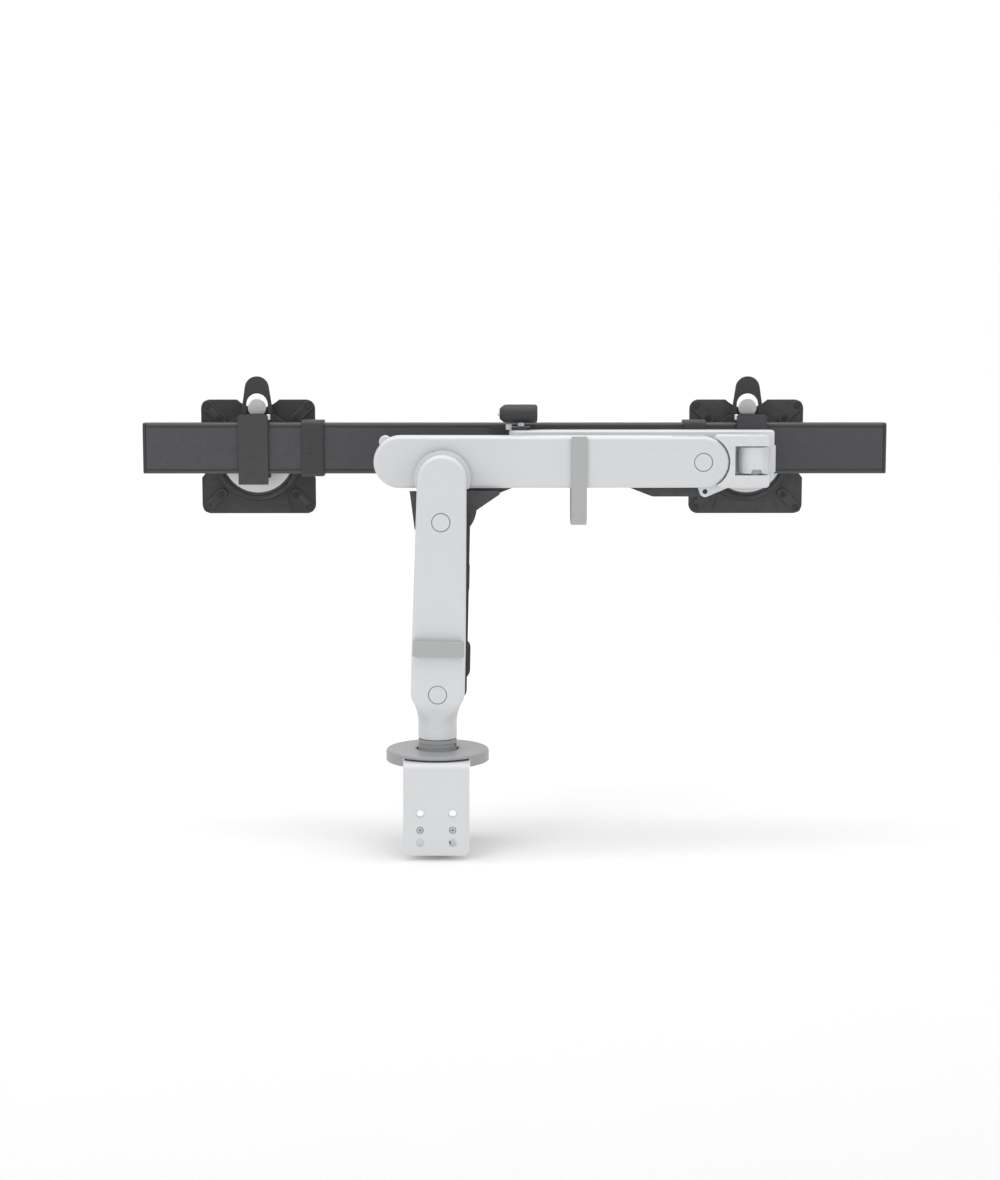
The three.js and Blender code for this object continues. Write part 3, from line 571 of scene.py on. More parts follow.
finishes = {
    "light_paint": coated(
        "light grey paint", (0.70, 0.71, 0.725), (0.80, 0.81, 0.82), 0.40, 1100.0, 0.10, 0.35, coat=0.12
    ),
    "clip_plastic": coated(
        "mid grey plastic", (0.45, 0.455, 0.46), (0.56, 0.565, 0.57), 0.50, 700.0, 0.16, 0.3
    ),
    # Painted shade: the cover and collar are light grey like the arm; this darker grey stands in for the dimmer
    # light on the cover's top.
    "cover_paint": coated(
        "cover paint darkened as painted shade", (0.34, 0.343, 0.35), (0.48, 0.483, 0.49), 0.44, 1000.0, 0.12, 0.4, coat=0.08
    ),
    "dark_paint": coated(
        "charcoal paint", (0.040, 0.041, 0.043), (0.13, 0.13, 0.135), 0.46, 900.0, 0.16, 0.5
    ),
    "dark_plastic": coated(
        "charcoal plastic", (0.040, 0.041, 0.043), (0.10, 0.10, 0.105), 0.52, 620.0, 0.22, 0.4
    ),
    "bar_paint": coated(
        "crossbar coating", (0.062, 0.063, 0.067), (0.16, 0.16, 0.165), 0.42, 1300.0, 0.10, 0.6, metallic=0.25
    ),
    "steel": bare_metal("plated steel", (0.56, 0.57, 0.58), 0.30, (60.0, 60.0, 2400.0)),
    "silver": bare_metal("satin silver", (0.80, 0.80, 0.81), 0.34, (1600.0, 80.0, 80.0), 0.05),
    "pad_rubber": coated("pad rubber", (0.022, 0.022, 0.024), (0.05, 0.05, 0.052), 0.82, 450.0, 0.35, 0.3),
    "bush_plastic": coated("bearing plastic", (0.72, 0.71, 0.67), (0.80, 0.79, 0.76), 0.55, 600.0, 0.12, 0.2),
}


# ---------------------------------------------------------------- growing trees for what repeats
def new_tree(name, inputs):
    tree = bpy.data.node_groups.new(name, "GeometryNodeTree")
    for label, kind, value in inputs:
        socket = tree.interface.new_socket(label, in_out="INPUT", socket_type=kind)
        if value is not None:
            socket.default_value = value
    tree.interface.new_socket("Material", in_out="INPUT", socket_type="NodeSocketMaterial")
    tree.interface.new_socket("Geometry", in_out="OUTPUT", socket_type="NodeSocketGeometry")
    return tree, tree.nodes.new("NodeGroupInput"), tree.nodes.new("NodeGroupOutput")


def closed_off(tree, given, out, geometry):
    """Every tree ends here: real geometry, its material set."""
    real = node_in(tree, "GeometryNodeRealizeInstances")
    coated_faces = node_in(tree, "GeometryNodeSetMaterial")
    wire(tree, geometry, real.inputs[0])
    wire(tree, real.outputs[0], coated_faces.inputs["Geometry"])
    wire(tree, given.outputs["Material"], coated_faces.inputs["Material"])
    wire(tree, coated_faces.outputs[0], out.inputs["Geometry"])
    return tree


def coil_tree():
    """A wound wire: a spring's coils, or the ridge of a screw thread."""
    tree, given, out = new_tree(
        "wound wire",
        [
            ("Turns", "NodeSocketFloat", 8.0),
            ("Radius", "NodeSocketFloat", 8.0),
            ("Length", "NodeSocketFloat", 50.0),
            ("Wire Radius", "NodeSocketFloat", 1.2),
            ("Wire Sides", "NodeSocketInt", 10),
            ("Steps a Turn", "NodeSocketInt", 28),
        ],
    )
    spiral = node_in(tree, "GeometryNodeCurveSpiral")
    section = node_in(tree, "GeometryNodeCurvePrimitiveCircle")
    swept = node_in(tree, "GeometryNodeCurveToMesh")
    wire(tree, given.outputs["Turns"], spiral.inputs["Rotations"])
    wire(tree, given.outputs["Steps a Turn"], spiral.inputs["Resolution"])
    wire(tree, given.outputs["Radius"], spiral.inputs["Start Radius"])
    wire(tree, given.outputs["Radius"], spiral.inputs["End Radius"])
    wire(tree, given.outputs["Length"], spiral.inputs["Height"])
    wire(tree, given.outputs["Wire Radius"], section.inputs["Radius"])
    wire(tree, given.outputs["Wire Sides"], section.inputs["Resolution"])
    wire(tree, spiral.outputs[0], swept.inputs["Curve"])
    wire(tree, section.outputs[0], swept.inputs["Profile Curve"])
    swept.inputs["Fill Caps"].default_value = True
    return closed_off(tree, given, out, swept.outputs[0])


def screw_tree():
    """A row of screws, their heads facing down the Z axis, each with a six-lobed socket."""
    tree, given, out = new_tree(
        "screw row",
        [
            ("Head Radius", "NodeSocketFloat", 3.0),
            ("Head Height", "NodeSocketFloat", 2.0),
            ("Crown", "NodeSocketFloat", 0.84),
            ("Socket Share", "NodeSocketFloat", 0.5),
            ("Socket Depth", "NodeSocketFloat", 1.2),
            ("Count", "NodeSocketInt", 2),
            ("Step", "NodeSocketVector", (10.0, 0.0, 0.0)),
        ],
    )
    head = node_in(tree, "GeometryNodeMeshCylinder")
    head.inputs["Vertices"].default_value = 36
    wire(tree, given.outputs["Head Radius"], head.inputs["Radius"])
    wire(tree, given.outputs["Head Height"], head.inputs["Depth"])
    crown = node_in(tree, "GeometryNodeExtrudeMesh")
    crown.inputs["Individual"].default_value = False
    crown.inputs["Offset Scale"].default_value = 0.35
    wire(tree, head.outputs["Mesh"], crown.inputs["Mesh"])
    wire(tree, head.outputs["Top"], crown.inputs["Selection"])
    narrowed = node_in(tree, "GeometryNodeScaleElements")
    wire(tree, crown.outputs["Mesh"], narrowed.inputs["Geometry"])
    wire(tree, crown.outputs["Top"], narrowed.inputs["Selection"])
    wire(tree, given.outputs["Crown"], narrowed.inputs["Scale"])
    rim = node_in(tree, "GeometryNodeExtrudeMesh")
    rim.inputs["Individual"].default_value = False
    rim.inputs["Offset Scale"].default_value = 0.01
    wire(tree, narrowed.outputs[0], rim.inputs["Mesh"])
    wire(tree, crown.outputs["Top"], rim.inputs["Selection"])
    mouth = node_in(tree, "GeometryNodeScaleElements")
    wire(tree, rim.outputs["Mesh"], mouth.inputs["Geometry"])
    wire(tree, rim.outputs["Top"], mouth.inputs["Selection"])
    wire(tree, given.outputs["Socket Share"], mouth.inputs["Scale"])
    lobed = node_in(tree, "GeometryNodeSetPosition")
    spot = node_in(tree, "GeometryNodeInputPosition")
    parts = node_in(tree, "ShaderNodeSeparateXYZ")
    wire(tree, spot.outputs[0], parts.inputs[0])
    bearing = math_in(tree, "ARCTAN2", parts.outputs["Y"], parts.outputs["X"])
    wave = math_in(tree, "COSINE", math_in(tree, "MULTIPLY", bearing, 6.0), 0.0)
    pull = node_in(tree, "ShaderNodeVectorMath", operation="MULTIPLY")
    push = node_in(tree, "ShaderNodeVectorMath", operation="SCALE")
    wire(tree, spot.outputs[0], pull.inputs[0])
    pull.inputs[1].default_value = (1.0, 1.0, 0.0)
    wire(tree, pull.outputs[0], push.inputs[0])
    wire(tree, math_in(tree, "MULTIPLY", wave, 0.16), push.inputs["Scale"])
    wire(tree, mouth.outputs[0], lobed.inputs["Geometry"])
    wire(tree, rim.outputs["Top"], lobed.inputs["Selection"])
    wire(tree, push.outputs[0], lobed.inputs["Offset"])
    sunk = node_in(tree, "GeometryNodeExtrudeMesh")
    sunk.inputs["Individual"].default_value = False
    wire(tree, lobed.outputs[0], sunk.inputs["Mesh"])
    wire(tree, rim.outputs["Top"], sunk.inputs["Selection"])
    wire(tree, math_in(tree, "MULTIPLY", given.outputs["Socket Depth"], -1.0), sunk.inputs["Offset Scale"])
    row = node_in(tree, "GeometryNodeMeshLine", mode="OFFSET")
    wire(tree, given.outputs["Count"], row.inputs["Count"])
    wire(tree, given.outputs["Step"], row.inputs["Offset"])
    copies = node_in(tree, "GeometryNodeInstanceOnPoints")
    wire(tree, row.outputs[0], copies.inputs["Points"])
    wire(tree, sunk.outputs["Mesh"], copies.inputs["Instance"])
    return closed_off(tree, given, out, copies.outputs[0])


def rib_tree():
    """Ribs standing in a ring about the Z axis, as on a hand knob."""
    tree, given, out = new_tree(
        "ring of ribs",
        [
            ("Ring Radius", "NodeSocketFloat", 12.0),
            ("Rib Radius", "NodeSocketFloat", 1.0),
            ("Rib Length", "NodeSocketFloat", 8.0),
            ("Count", "NodeSocketInt", 24),
        ],
    )
    ring = node_in(tree, "GeometryNodeMeshCircle")
    wire(tree, given.outputs["Count"], ring.inputs["Vertices"])
    wire(tree, given.outputs["Ring Radius"], ring.inputs["Radius"])
    rib = node_in(tree, "GeometryNodeMeshCylinder")
    rib.inputs["Vertices"].default_value = 10
    wire(tree, given.outputs["Rib Radius"], rib.inputs["Radius"])
    wire(tree, given.outputs["Rib Length"], rib.inputs["Depth"])
    copies = node_in(tree, "GeometryNodeInstanceOnPoints")
    wire(tree, ring.outputs[0], copies.inputs["Points"])
    wire(tree, rib.outputs["Mesh"], copies.inputs["Instance"])
    return closed_off(tree, given, out, copies.outputs[0])


COIL, SCREWS, RIBS = coil_tree(), screw_tree(), rib_tree()


def grown(tree, finish, **values):
    """The plain mesh that a tree makes from its named inputs."""
    values = {label.replace("_", " "): value for label, value in values.items()}
    values["Material"] = finishes[finish]
    holder = held(bpy.data.meshes.new("grown"))
    modifier = holder.modifiers.new("grow", "NODES")
    modifier.node_group = tree
    for socket in tree.interface.items_tree:
        if socket.in_out == "INPUT" and socket.name in values:
            modifier[socket.identifier] = values[socket.name]
    mesh = baked(holder)
    holder.modifiers.clear()
    bpy.data.objects.remove(holder)
    return mesh


def aimed(mesh, x, y, z, direction):
    """Turns a mesh that faces up the Z axis to face another way, then moves it."""
    turn = Vector((0, 0, 1)).rotation_difference(Vector(direction)).to_matrix().to_4x4()
    mesh.transform(Matrix.Translation((x, y, z)) @ turn)
    return mesh


# ---------------------------------------------------------------- clamp and base
def clamp_plate():
    """The bent plate over the desk's edge, with three pairs of screw holes in its face."""
    half = bracket_high.x
    face, top, bottom = bracket_low.y, bracket_high.z, bracket_low.z
    sheet, bend = 4.0, 6.0
    outer = arc(face + bend, top - bend, bend, math.pi, math.pi / 2, 10)
    inner = arc(face + bend, top - bend, bend - sheet, math.pi / 2, math.pi, 8)
    section = [(face, bottom)] + outer + [(bracket_high.y, top), (bracket_high.y, top - sheet)] + inner
    section.append((face + sheet, bottom))
    blank = prism(section, -half, half, "X", 0.5, 2)
    front = prism(rounded(-half, bottom, half, bracket_high.y, 6.5, 10), -80, 60, "Y")
    plan = prism(rounded(-half, -80, half, bracket_high.y, 12, 10), bottom - 1, 30, "Z")
    holes = [
        drum(3.3, -60, -48, "Y", side * 15.1, row, 32)
        for side in (-1, 1)
        for row in (-40.3, -55.8, -67.8)
    ]
    sinks = [
        drum(4.1, face - 1, face + 0.7, "Y", side * 15.1, row, 32)
        for side in (-1, 1)
        for row in (-40.3, -67.8)
    ]
    body = cut(common(common(blank, front), plan), *holes, *sinks)
    place(body, "clamp_plate", "clamp", "light_paint", ("clamp_bracket",), 0.4)


def cover_disc():
    """The round cover over the plate, with a soft rim and a raised ring at its middle."""
    radius, top, wall = cover_high.x, cover_high.z, 2.7
    ceiling = top - 2.8
    rim = [(radius - 2.2 + r, z) for r, z in arc(0, top - 2.2, 2.2, 0, math.pi / 2, 6)]
    section = [(20.2, ceiling), (radius - wall, ceiling), (radius - wall, 0.3)]
    section += [(radius - 0.4, 0.3), (radius, 0.8)]
    section += rim + [(23.0, top), (22.2, top - 0.5), (21.4, top - 0.5), (21.0, top), (20.2, top)]
    notch = block(-bracket_high.x - 0.5, bracket_high.x + 0.5, -60, -25, 0, ceiling)
    place(cut(turned(section), notch), "cover_disc", "clamp", "cover_paint", ("base_cover",))


def post_collar():
    low, high = span("base_collar")
    bore, radius = 11.3, high.x
    section = [(bore, low.z), (radius - 0.6, low.z), (radius, low.z + 0.6)]
    for groove in (0.36, 0.66):
        z = low.z + (high.z - low.z) * groove
        section += [(radius, z - 0.5), (radius - 0.5, z - 0.3), (radius - 0.5, z + 0.3), (radius, z + 0.5)]
    section += [(radius, high.z - 0.6), (radius - 0.6, high.z), (bore, high.z)]
    peg_low, peg_high = span("stop_peg")
    peg = (peg_low + peg_high) / 2
    pegs_groove = drum(1.5, 9.6, 30, "Z", peg.x, peg.y, 24)
    bearing = math.atan2(peg.y, peg.x)
    window = moved(drum(2.2, math.hypot(peg.x, peg.y), 22, "X", 0, 15.4), turn=bearing, axis="Z")
    place(cut(turned(section), pegs_groove, window), "post_collar", "clamp", "cover_paint", ("base_collar",))
    pin = drum(1.2, peg_low.z, peg_high.z, "Z", peg.x, peg.y, 32, 0.3)
    place(pin, "turn_stop_pin", "clamp", "silver", ("stop_peg",))


def clamp_under_desk():
    eased("lower_jaw", "clamp_jaw", "clamp", "light_paint", 0.7, 3)
    low, high = span("clamp_screw")
    x, y = (low.x + high.x) / 2, (low.y + high.y) / 2
    section = [(0, low.z), (5.0, low.z), (5.4, low.z + 0.8), (5.4, -38)]
    section += [(4.0, -37.4), (4.0, high.z - 1), (3, high.z), (0, high.z)]
    core = turned(section, 48)
    place(moved(core, x, y), "clamp_screw_core", "clamp_screw", "steel", ("clamp_screw",))
    ridge = grown(
        COIL, "steel", Turns=20.0, Radius=5.3, Length=40.0, Wire_Radius=0.72, Wire_Sides=4, Steps_a_Turn=24
    )
    place(moved(ridge, x, y, low.z + 1.0), "clamp_screw_thread", "clamp_screw", "steel")
    knob_low, knob_high = span("clamp_knob")
    grip = knob_high.x - 0.9
    knob = turned(
        [
            (0, knob_low.z),
            (grip - 1.6, knob_low.z),
            (grip, knob_low.z + 1.6),
            (grip, knob_high.z - 1.2),
            (grip - 1.2, knob_high.z),
            (6.3, knob_high.z),
            (6.3, knob_high.z - 7),
            (0, knob_high.z - 7),
        ]
    )
    place(moved(knob, x, y), "clamp_knob_body", "clamp_screw", "dark_plastic", ("clamp_knob",))
    ribs = grown(RIBS, "dark_plastic", Ring_Radius=grip - 0.1, Rib_Radius=0.9, Rib_Length=7.4, Count=28)
    place(moved(ribs, x, y, (knob_low.z + knob_high.z) / 2), "clamp_knob_ribs", "clamp_screw", "dark_plastic")
    pad_low, pad_high = span("pressure_pad")
    pad = turned(
        [
            (4.3, pad_low.z),
            (8.4, pad_low.z),
            (9, pad_low.z + 0.6),
            (9, pad_high.z - 6.5),
            (10.5, pad_high.z - 5.2),
            (19.2, pad_high.z - 4.5),
            (20, pad_high.z - 3.7),
            (20, pad_high.z - 0.5),
            (19.5, pad_high.z),
            (0, pad_high.z),
            (0, pad_high.z - 3),
            (4.3, pad_high.z - 3),
        ]
    )
    place(moved(pad, x, y), "pressure_foot", "clamp_pad", "steel", ("pressure_pad",))


# ---------------------------------------------------------------- foot and lower link
def foot_section(half, square):
    """The neck's plan, turned by a share from a circle into the cheeks' rounded rectangle."""
    front = -NECK_RADIUS + (link_low.y + NECK_RADIUS) * square
    back = NECK_RADIUS + (link_high.y - NECK_RADIUS) * square
    middle = foot_pivot.x * square
    corner = min(half, (back - front) / 2) * (1 - square) + EDGE_ROUND * square
    return rounded(middle - half, front, middle + half, back, corner - 0.01, 16)


def foot_block():
    """The round neck that flares into the two cheeks holding the lower link."""
    y0, y1 = link_low.y, link_high.y
    floor = foot_pivot.z - 17
    bottom = span("foot_casting")[0].z
    chamfer = 0.8
    levels = [(bottom + chamfer, NECK_RADIUS, 0)]
    levels += through(FLARE, 6) + [(foot_pivot.z + 0.02, LINK_FOOT_RADIUS, 1)]
    outlines = [foot_section(half, square) for _, half, square in levels]
    inset = 1 - chamfer / NECK_RADIUS
    outlines.insert(0, [(u * inset, v * inset) for u, v in outlines[0]])
    neck = loft(outlines, [bottom] + [z for z, _, _ in levels])
    cheeks = common(
        prism(tapered(0, 0, LINK_FOOT_RADIUS, 0, 44, LINK_FOOT_RADIUS), y0, y1, "Y", EDGE_ROUND, 6),
        drum(LINK_SEAM, -40, 40, "Y", 0, 0, 160),
    )
    moved(cheeks, foot_pivot.x, 0, foot_pivot.z, lean)
    cheeks = common(cheeks, block(-60, 60, -60, 60, foot_pivot.z, 130))
    stub = drum(3, 0, 6.2, "Y", foot_pivot.x + 20, foot_pivot.z, 32)
    groove = arc(0, 0, 17.5, math.radians(-209.6), math.radians(-19.2), 40)
    groove += arc(0, 0, 14.5, math.radians(-19.2), math.radians(-209.6), 40)
    body = cut(
        join(neck, cheeks, stub),
        block(-60, 60, -18, -4, floor, 130),
        drum(13.6, 20, 42, "Z"),
        prism(groove, 20, 24.3, "Z"),
        drum(6, -30, 10, "Y", foot_pivot.x, foot_pivot.z),
        drum(CAP_RECESS, -30, y0 + CAP_SEAT, "Y", foot_pivot.x, foot_pivot.z, 64),
    )
    place(body, "foot_block", "foot", "light_paint", ("foot_casting",), 0.35)


def pivot_cap(node, name, body):
    """A pressed-in disc over a pivot, slightly domed, with a thin shadow gap round it."""
    low, high = span(node)
    middle = (low + high) / 2
    radius, depth = (high.x - low.x) / 2, high.y - low.y
    section = [(0, 0), (radius - 0.5, 0), (radius, 0.4), (radius, depth - 0.35)]
    section += [(radius - 0.5, depth - 0.1), (0, depth)]
    cap = turned(section)
    place(aimed(cap, middle.x, high.y, middle.z, (0, -1, 0)), name, body, "light_paint", (node,))


def lower_link():
    y0, y1 = link_low.y, link_high.y
    top = link_length + LINK_TAIL
    shell = join(
        cut(
            prism(tapered(0, 36, LINK_FOOT_RADIUS, 0, top, LINK_TOP_RADIUS, 48), y0, y1, "Y", EDGE_ROUND, 6),
            drum(LINK_SEAM + GAP, -40, 40, "Y", 0, 0, 160),
        ),
        prism(tapered(0, 0, 16, 0, 60, 16), -17.7, -4.3, "Y"),
    )
    body = cut(
        shell,
        block(-13, 13, -18, 5, 62, 148),
        drum(6.1, -30, 10, "Y"),
        drum(4.8, -30, 10, "Y", 0, link_length),
        drum(CAP_RECESS, -30, y0 + CAP_SEAT, "Y", 0, link_length, 64),
    )
    moved(body, foot_pivot.x, 0, foot_pivot.z, lean)
    place(body, "lower_link_cover", "lower_link", "light_paint", ("lower_link_shell",), 0.35)
    pivot_cap("foot_pivot_cap", "foot_cap", "foot")
    pivot_cap("lower_link_cap", "knee_cap", "lower_link")
    wound = grown(
        COIL, "steel", Turns=7.0, Radius=7.4, Length=54.0, Wire_Radius=1.45, Wire_Sides=12, Steps_a_Turn=36
    )
    moved(wound, 0, -8, 63.9)
    moved(wound, foot_pivot.x, 0, foot_pivot.z, lean)
    place(wound, "lower_balance_spring", "lower_link", "steel", ("lower_spring",))
    eased("lower_spring_seat", "lower_spring_cup", "lower_link", "dark_paint", 0.4)
    front = y0 - 7.4
    band = cut(
        prism(rounded(-24, front, 24, y0 + 3, 2.5), 37, 51.4, "Z", 0.5, 2),
        prism(rounded(-21.4, front + 1.8, 21.4, 10, 1.6), 30, 60, "Z"),
        block(-30, 30, y0 - GAP, 10, 30, 60),
    )
    moved(band, foot_pivot.x, 0, foot_pivot.z, lean)
    place(band, "lower_cable_band", "lower_link", "clip_plastic", ("lower_cable_clip",), 0.25)
    eased("lower_rod", "lower_level_rod", "lower_rod", "dark_paint", 0.5, 3)
    hidden_top = block(-60, 60, 6, 11, knee_top.z + 10.5, knee_top.z + 20)
    eased("knee_bracket", "knee_plate", "knee", "dark_paint", 0.5, 3, [hidden_top])
    eased("knee_collar", "knee_disc", "knee", "light_paint", 0.6, 3)


# ---------------------------------------------------------------- upper arm
def upper_arm():
    y0, y1 = arm_low.y, arm_high.y
    drop_x, drop_z = ROD_DROP
    swing = math.hypot(drop_x, drop_z)
    slot = arc(0, 0, swing + 4, math.radians(-134), math.radians(-36), 24)
    slot += arc(0, 0, swing - 4, math.radians(-36), math.radians(-134), 24)
    shell = prism(
        tapered(-ARM_TAIL, 0, ARM_END_RADIUS, arm_length, 0, ARM_WRIST_RADIUS, 48), y0, y1, "Y", EDGE_ROUND, 6
    )
    body = cut(
        shell,
        block(218, 300, 17.5, 31, -40, 40),
        block(-35, 219, 21.5, 31, -40, -11),
        block(30, 210, 15, 41, -40, 15),
        prism(slot, 0, 22.5, "Y"),
        drum(PIN_BORE, 0, 60, "Y"),
        drum(PIN_BORE, 0, y1 - 1.5, "Y", arm_length),
        drum(CAP_RECESS, 0, y0 + CAP_SEAT, "Y", arm_length, 0, 64),
    )
    moved(body, knee_top.x, 0, knee_top.z)
    place(body, "upper_arm_cover", "upper_arm", "light_paint", ("upper_arm_shell",), 0.35)
    pivot_cap("wrist_cap", "wrist_pivot_cap", "upper_arm")
    wound = grown(
        COIL, "steel", Turns=11.0, Radius=7.8, Length=94.0, Wire_Radius=1.55, Wire_Sides=12, Steps_a_Turn=36
    )
    aimed(wound, knee_top.x + 32.2, wrist_swivel.y, knee_top.z + 4.5, (1, 0, 0))
    place(wound, "upper_balance_spring", "upper_arm", "steel", ("upper_spring",))
    eased("spring_adjuster", "spring_tension_rod", "upper_arm", "dark_paint", 0.4)
    low, high = span("balance_knob")
    middle = (low + high) / 2
    button = turned([(0, 0), (5.2, 0), (6, 0.8), (6, 3.7), (5, 4.7), (0, 4.7)])
    aimed(button, middle.x, low.y, middle.z, (0, 1, 0))
    place(button, "balance_button", "upper_arm", "light_paint", ("balance_knob",))


def arm_cable_loop():
    """The open strap that hangs under the arm and clips over both of its faces."""
    low, high = span("arm_cable_clip")
    near, far = low.y, high.y
    centre = knee_top.z
    top, wall, corner = centre + ARM_END_RADIUS, 2.7, 14.0
    bend = low.z + corner
    outer = [(near, top)] + arc(near + corner, bend, corner, math.pi, 1.5 * math.pi, 14)
    outer += arc(far - corner, bend, corner, 1.5 * math.pi, 2 * math.pi, 14) + [(far, top)]
    inner = [(far - wall, top)] + arc(far - corner, bend, corner - wall, 2 * math.pi, 1.5 * math.pi, 14)
    inner += arc(near + corner, bend, corner - wall, 1.5 * math.pi, math.pi, 14) + [(near + wall, top)]
    strap = prism(outer + inner, low.x, high.x, "X", 0.6, 3)
    place(strap, "arm_cable_strap", "upper_arm", "clip_plastic", ("arm_cable_clip",), 0.2)


def level_rod():
    """The upper rod, with a round bore that clears its stub pin at every tilt."""
    pin = pivot["upper_rod_pivot"]
    bore = drum(3.5, arm_low.y, arm_high.y, "Y", pin.x, pin.z, 48)
    eased("upper_rod", "upper_level_rod", "upper_rod", "dark_paint", 0.5, 3, [bore])


# ---------------------------------------------------------------- wrist and front link
def wrist_fork():
    """The clevis: a ring on the wrist pivot, a rod ear, and two flat jaws about the swivel pin."""
    y0, y1 = arm_low.y, arm_high.y
    ear_y = (18, 22)
    jaw_low, jaw_high, mouth = -12.4, 15.1, 29.8
    jaws = cut(
        prism(rounded(13.1, -24, JAW_END, 25.2, 4), y0, y1, "Y", 1.2, 4),
        drum(ARM_WRIST_RADIUS + 1.2, 0, 60, "Y", 0, 0, 96),
        block(mouth, 80, 0, 60, jaw_low, jaw_high),
    )
    body = cut(
        join(
            jaws,
            prism(tapered(0, 0, 14, 14, 0, 13.9), ear_y[0], 30.5, "Y"),
            block(10, mouth, ear_y[0], 30.5, jaw_low, 12),
            prism(tapered(0, 0, 12, *ROD_DROP, EAR_RADIUS), *ear_y, "Y"),
            prism(tapered(*ROD_DROP, EAR_RADIUS, 25, -18.5, 5), *ear_y, "Y"),
            drum(2.9, 19, 29.8, "Y", *ROD_DROP, 32),
        ),
        drum(PIN_BORE, 0, 60, "Y"),
        drum(2.4, 0, ear_y[0] + 3, "Y", *ROD_DROP, 32),
        drum(PIN_BORE, -40, 40, "Z", wrist_swivel.x - wrist_pivot.x, wrist_swivel.y),
    )
    moved(body, wrist_pivot.x, 0, wrist_pivot.z)
    place(body, "wrist_fork", "wrist", "light_paint", ("wrist_clevis",), 0.35)
    # Painted shade: a thin dark disc at the bottom of the rod ear's hole stands in for the shade inside it.
    hole_shade = drum(2.3, ear_y[0] + 1.2, ear_y[0] + 2.8, "Y", *ROD_DROP, 32, 0.2)
    place(moved(hole_shade, wrist_pivot.x, 0, wrist_pivot.z), "ear_hole_shade_disc", "wrist", "dark_plastic")


def front_bar():
    """The folded front link: a flat bar with a round end, and a knuckle on the swivel pin."""
    reach = wrist_swivel.x - bar_swivel.x
    y0, y1 = fold_high.y - wrist_swivel.y - 23, fold_high.y - wrist_swivel.y
    z0, z1 = fold_low.z - wrist_pivot.z, fold_high.z - wrist_pivot.z
    end, half, middle = 23.2, (y1 - y0) / 2, (y0 + y1) / 2
    plan = arc(-reach, middle, half, math.pi / 2, 1.5 * math.pi, 32)
    plan += arc(end - 4, y0 + 4, 4, -math.pi / 2, 0, 8) + arc(end - 8, y1 - 8, 8, 0, math.pi / 2, 10)
    knuckle_low, knuckle_high = -11.2, 14.1
    notch_mouth, notch_top = knuckle_low - 1, knuckle_low + 4.2
    notch = [(-4.6, notch_mouth), (7.4, notch_mouth), (5.6, notch_top), (-2.8, notch_top)]
    body = cut(
        join(
            prism(plan, z0, z1, "Z", 2.2, 5),
            block(-14, end, 18.4, 32, knuckle_low, knuckle_high),
            block(-14, 14, 0, 26, knuckle_low + 0.001, knuckle_high - 0.001),
            drum(15, knuckle_low, knuckle_high, "Z", 0, 0, 96, 0.8),
        ),
        drum(PIN_BORE, -40, 40, "Z"),
        drum(4.3, -40, 40, "Z", -reach, middle),
        prism(notch, -20, -9, "Y"),
    )
    moved(body, wrist_swivel.x, wrist_swivel.y, wrist_pivot.z)
    place(body, "front_bar", "front_link", "light_paint", ("front_link",), 0.3)


# ---------------------------------------------------------------- carrier and its lock
def bar_cradle():
    eased("bar_carrier", "bar_cradle", "carrier", "dark_paint", 0.4, 2)
    low, high = span("carrier_pin")
    pin = drum((high.x - low.x) / 2, low.z, high.z, "Z", bar_swivel.x, bar_swivel.y, 48, 0.6)
    place(pin, "cradle_pin", "carrier", "steel", ("carrier_pin",))
    block_low = high.z - 1.5
    plan = rounded(low.x - 10.6, bar_swivel.y - 2, low.x - 4.6, bar_swivel.y + 3, 1.2)
    stop = prism(plan, block_low - 1, block_low + 4.4, "Z", 0.6, 3)
    place(stop, "lock_stop_block", "carrier", "light_paint")


def lock_grip():
    """The turned locking handle, lying across its stem, with a rivet at its narrow end."""
    low, high = span("lock_handle")
    radius, centre = (high.y - low.y) / 2, (low.z + high.z) / 2
    start, end = low.x - bar_swivel.x, high.x - bar_swivel.x
    section = [(0, start), (radius - 4.2, start), (radius - 3.4, start + 0.6)]
    section += [(radius - 0.8, start + 3.8), (radius - 0.2, start + 5.4), (radius, start + 8)]
    section += [(radius - 2.6 + r, z) for r, z in arc(0, end - 2.6, 2.6, 0, math.pi / 2, 8)]
    section += [(0, end)]
    grip = cut(
        aimed(turned(section, 72), 0, 0, 0, (1, 0, 0)),
        drum(3.9, -radius - 5, -3.9, "Z"),
    )
    moved(grip, bar_swivel.x, bar_swivel.y, centre)
    place(grip, "lock_grip", "lock_handle", "dark_plastic", ("lock_handle",))
    stem_low, stem_high = span("lock_stem")
    post = stem_high.z - stem_low.z
    section = [(0, 0), (3.3, 0), (3.6, 0.3), (3.6, post * 0.45), (3.1, post * 0.5)]
    section += [(3.1, post * 0.6), (3.6, post * 0.65), (3.6, post), (0, post)]
    stem = turned(section, 48)
    moved(stem, bar_swivel.x, bar_swivel.y, stem_low.z)
    place(stem, "lock_post", "lock_handle", "steel", ("lock_stem",))
    rivet_low, rivet_high = span("handle_rivet")
    length = rivet_high.x - rivet_low.x
    rivet = turned([(0, 0), (2, 0), (2, length - 0.7), (1.4, length - 0.15), (0, length)], 40)
    aimed(rivet, rivet_high.x, bar_swivel.y, centre, (-1, 0, 0))
    place(rivet, "grip_rivet", "lock_handle", "silver", ("handle_rivet",))


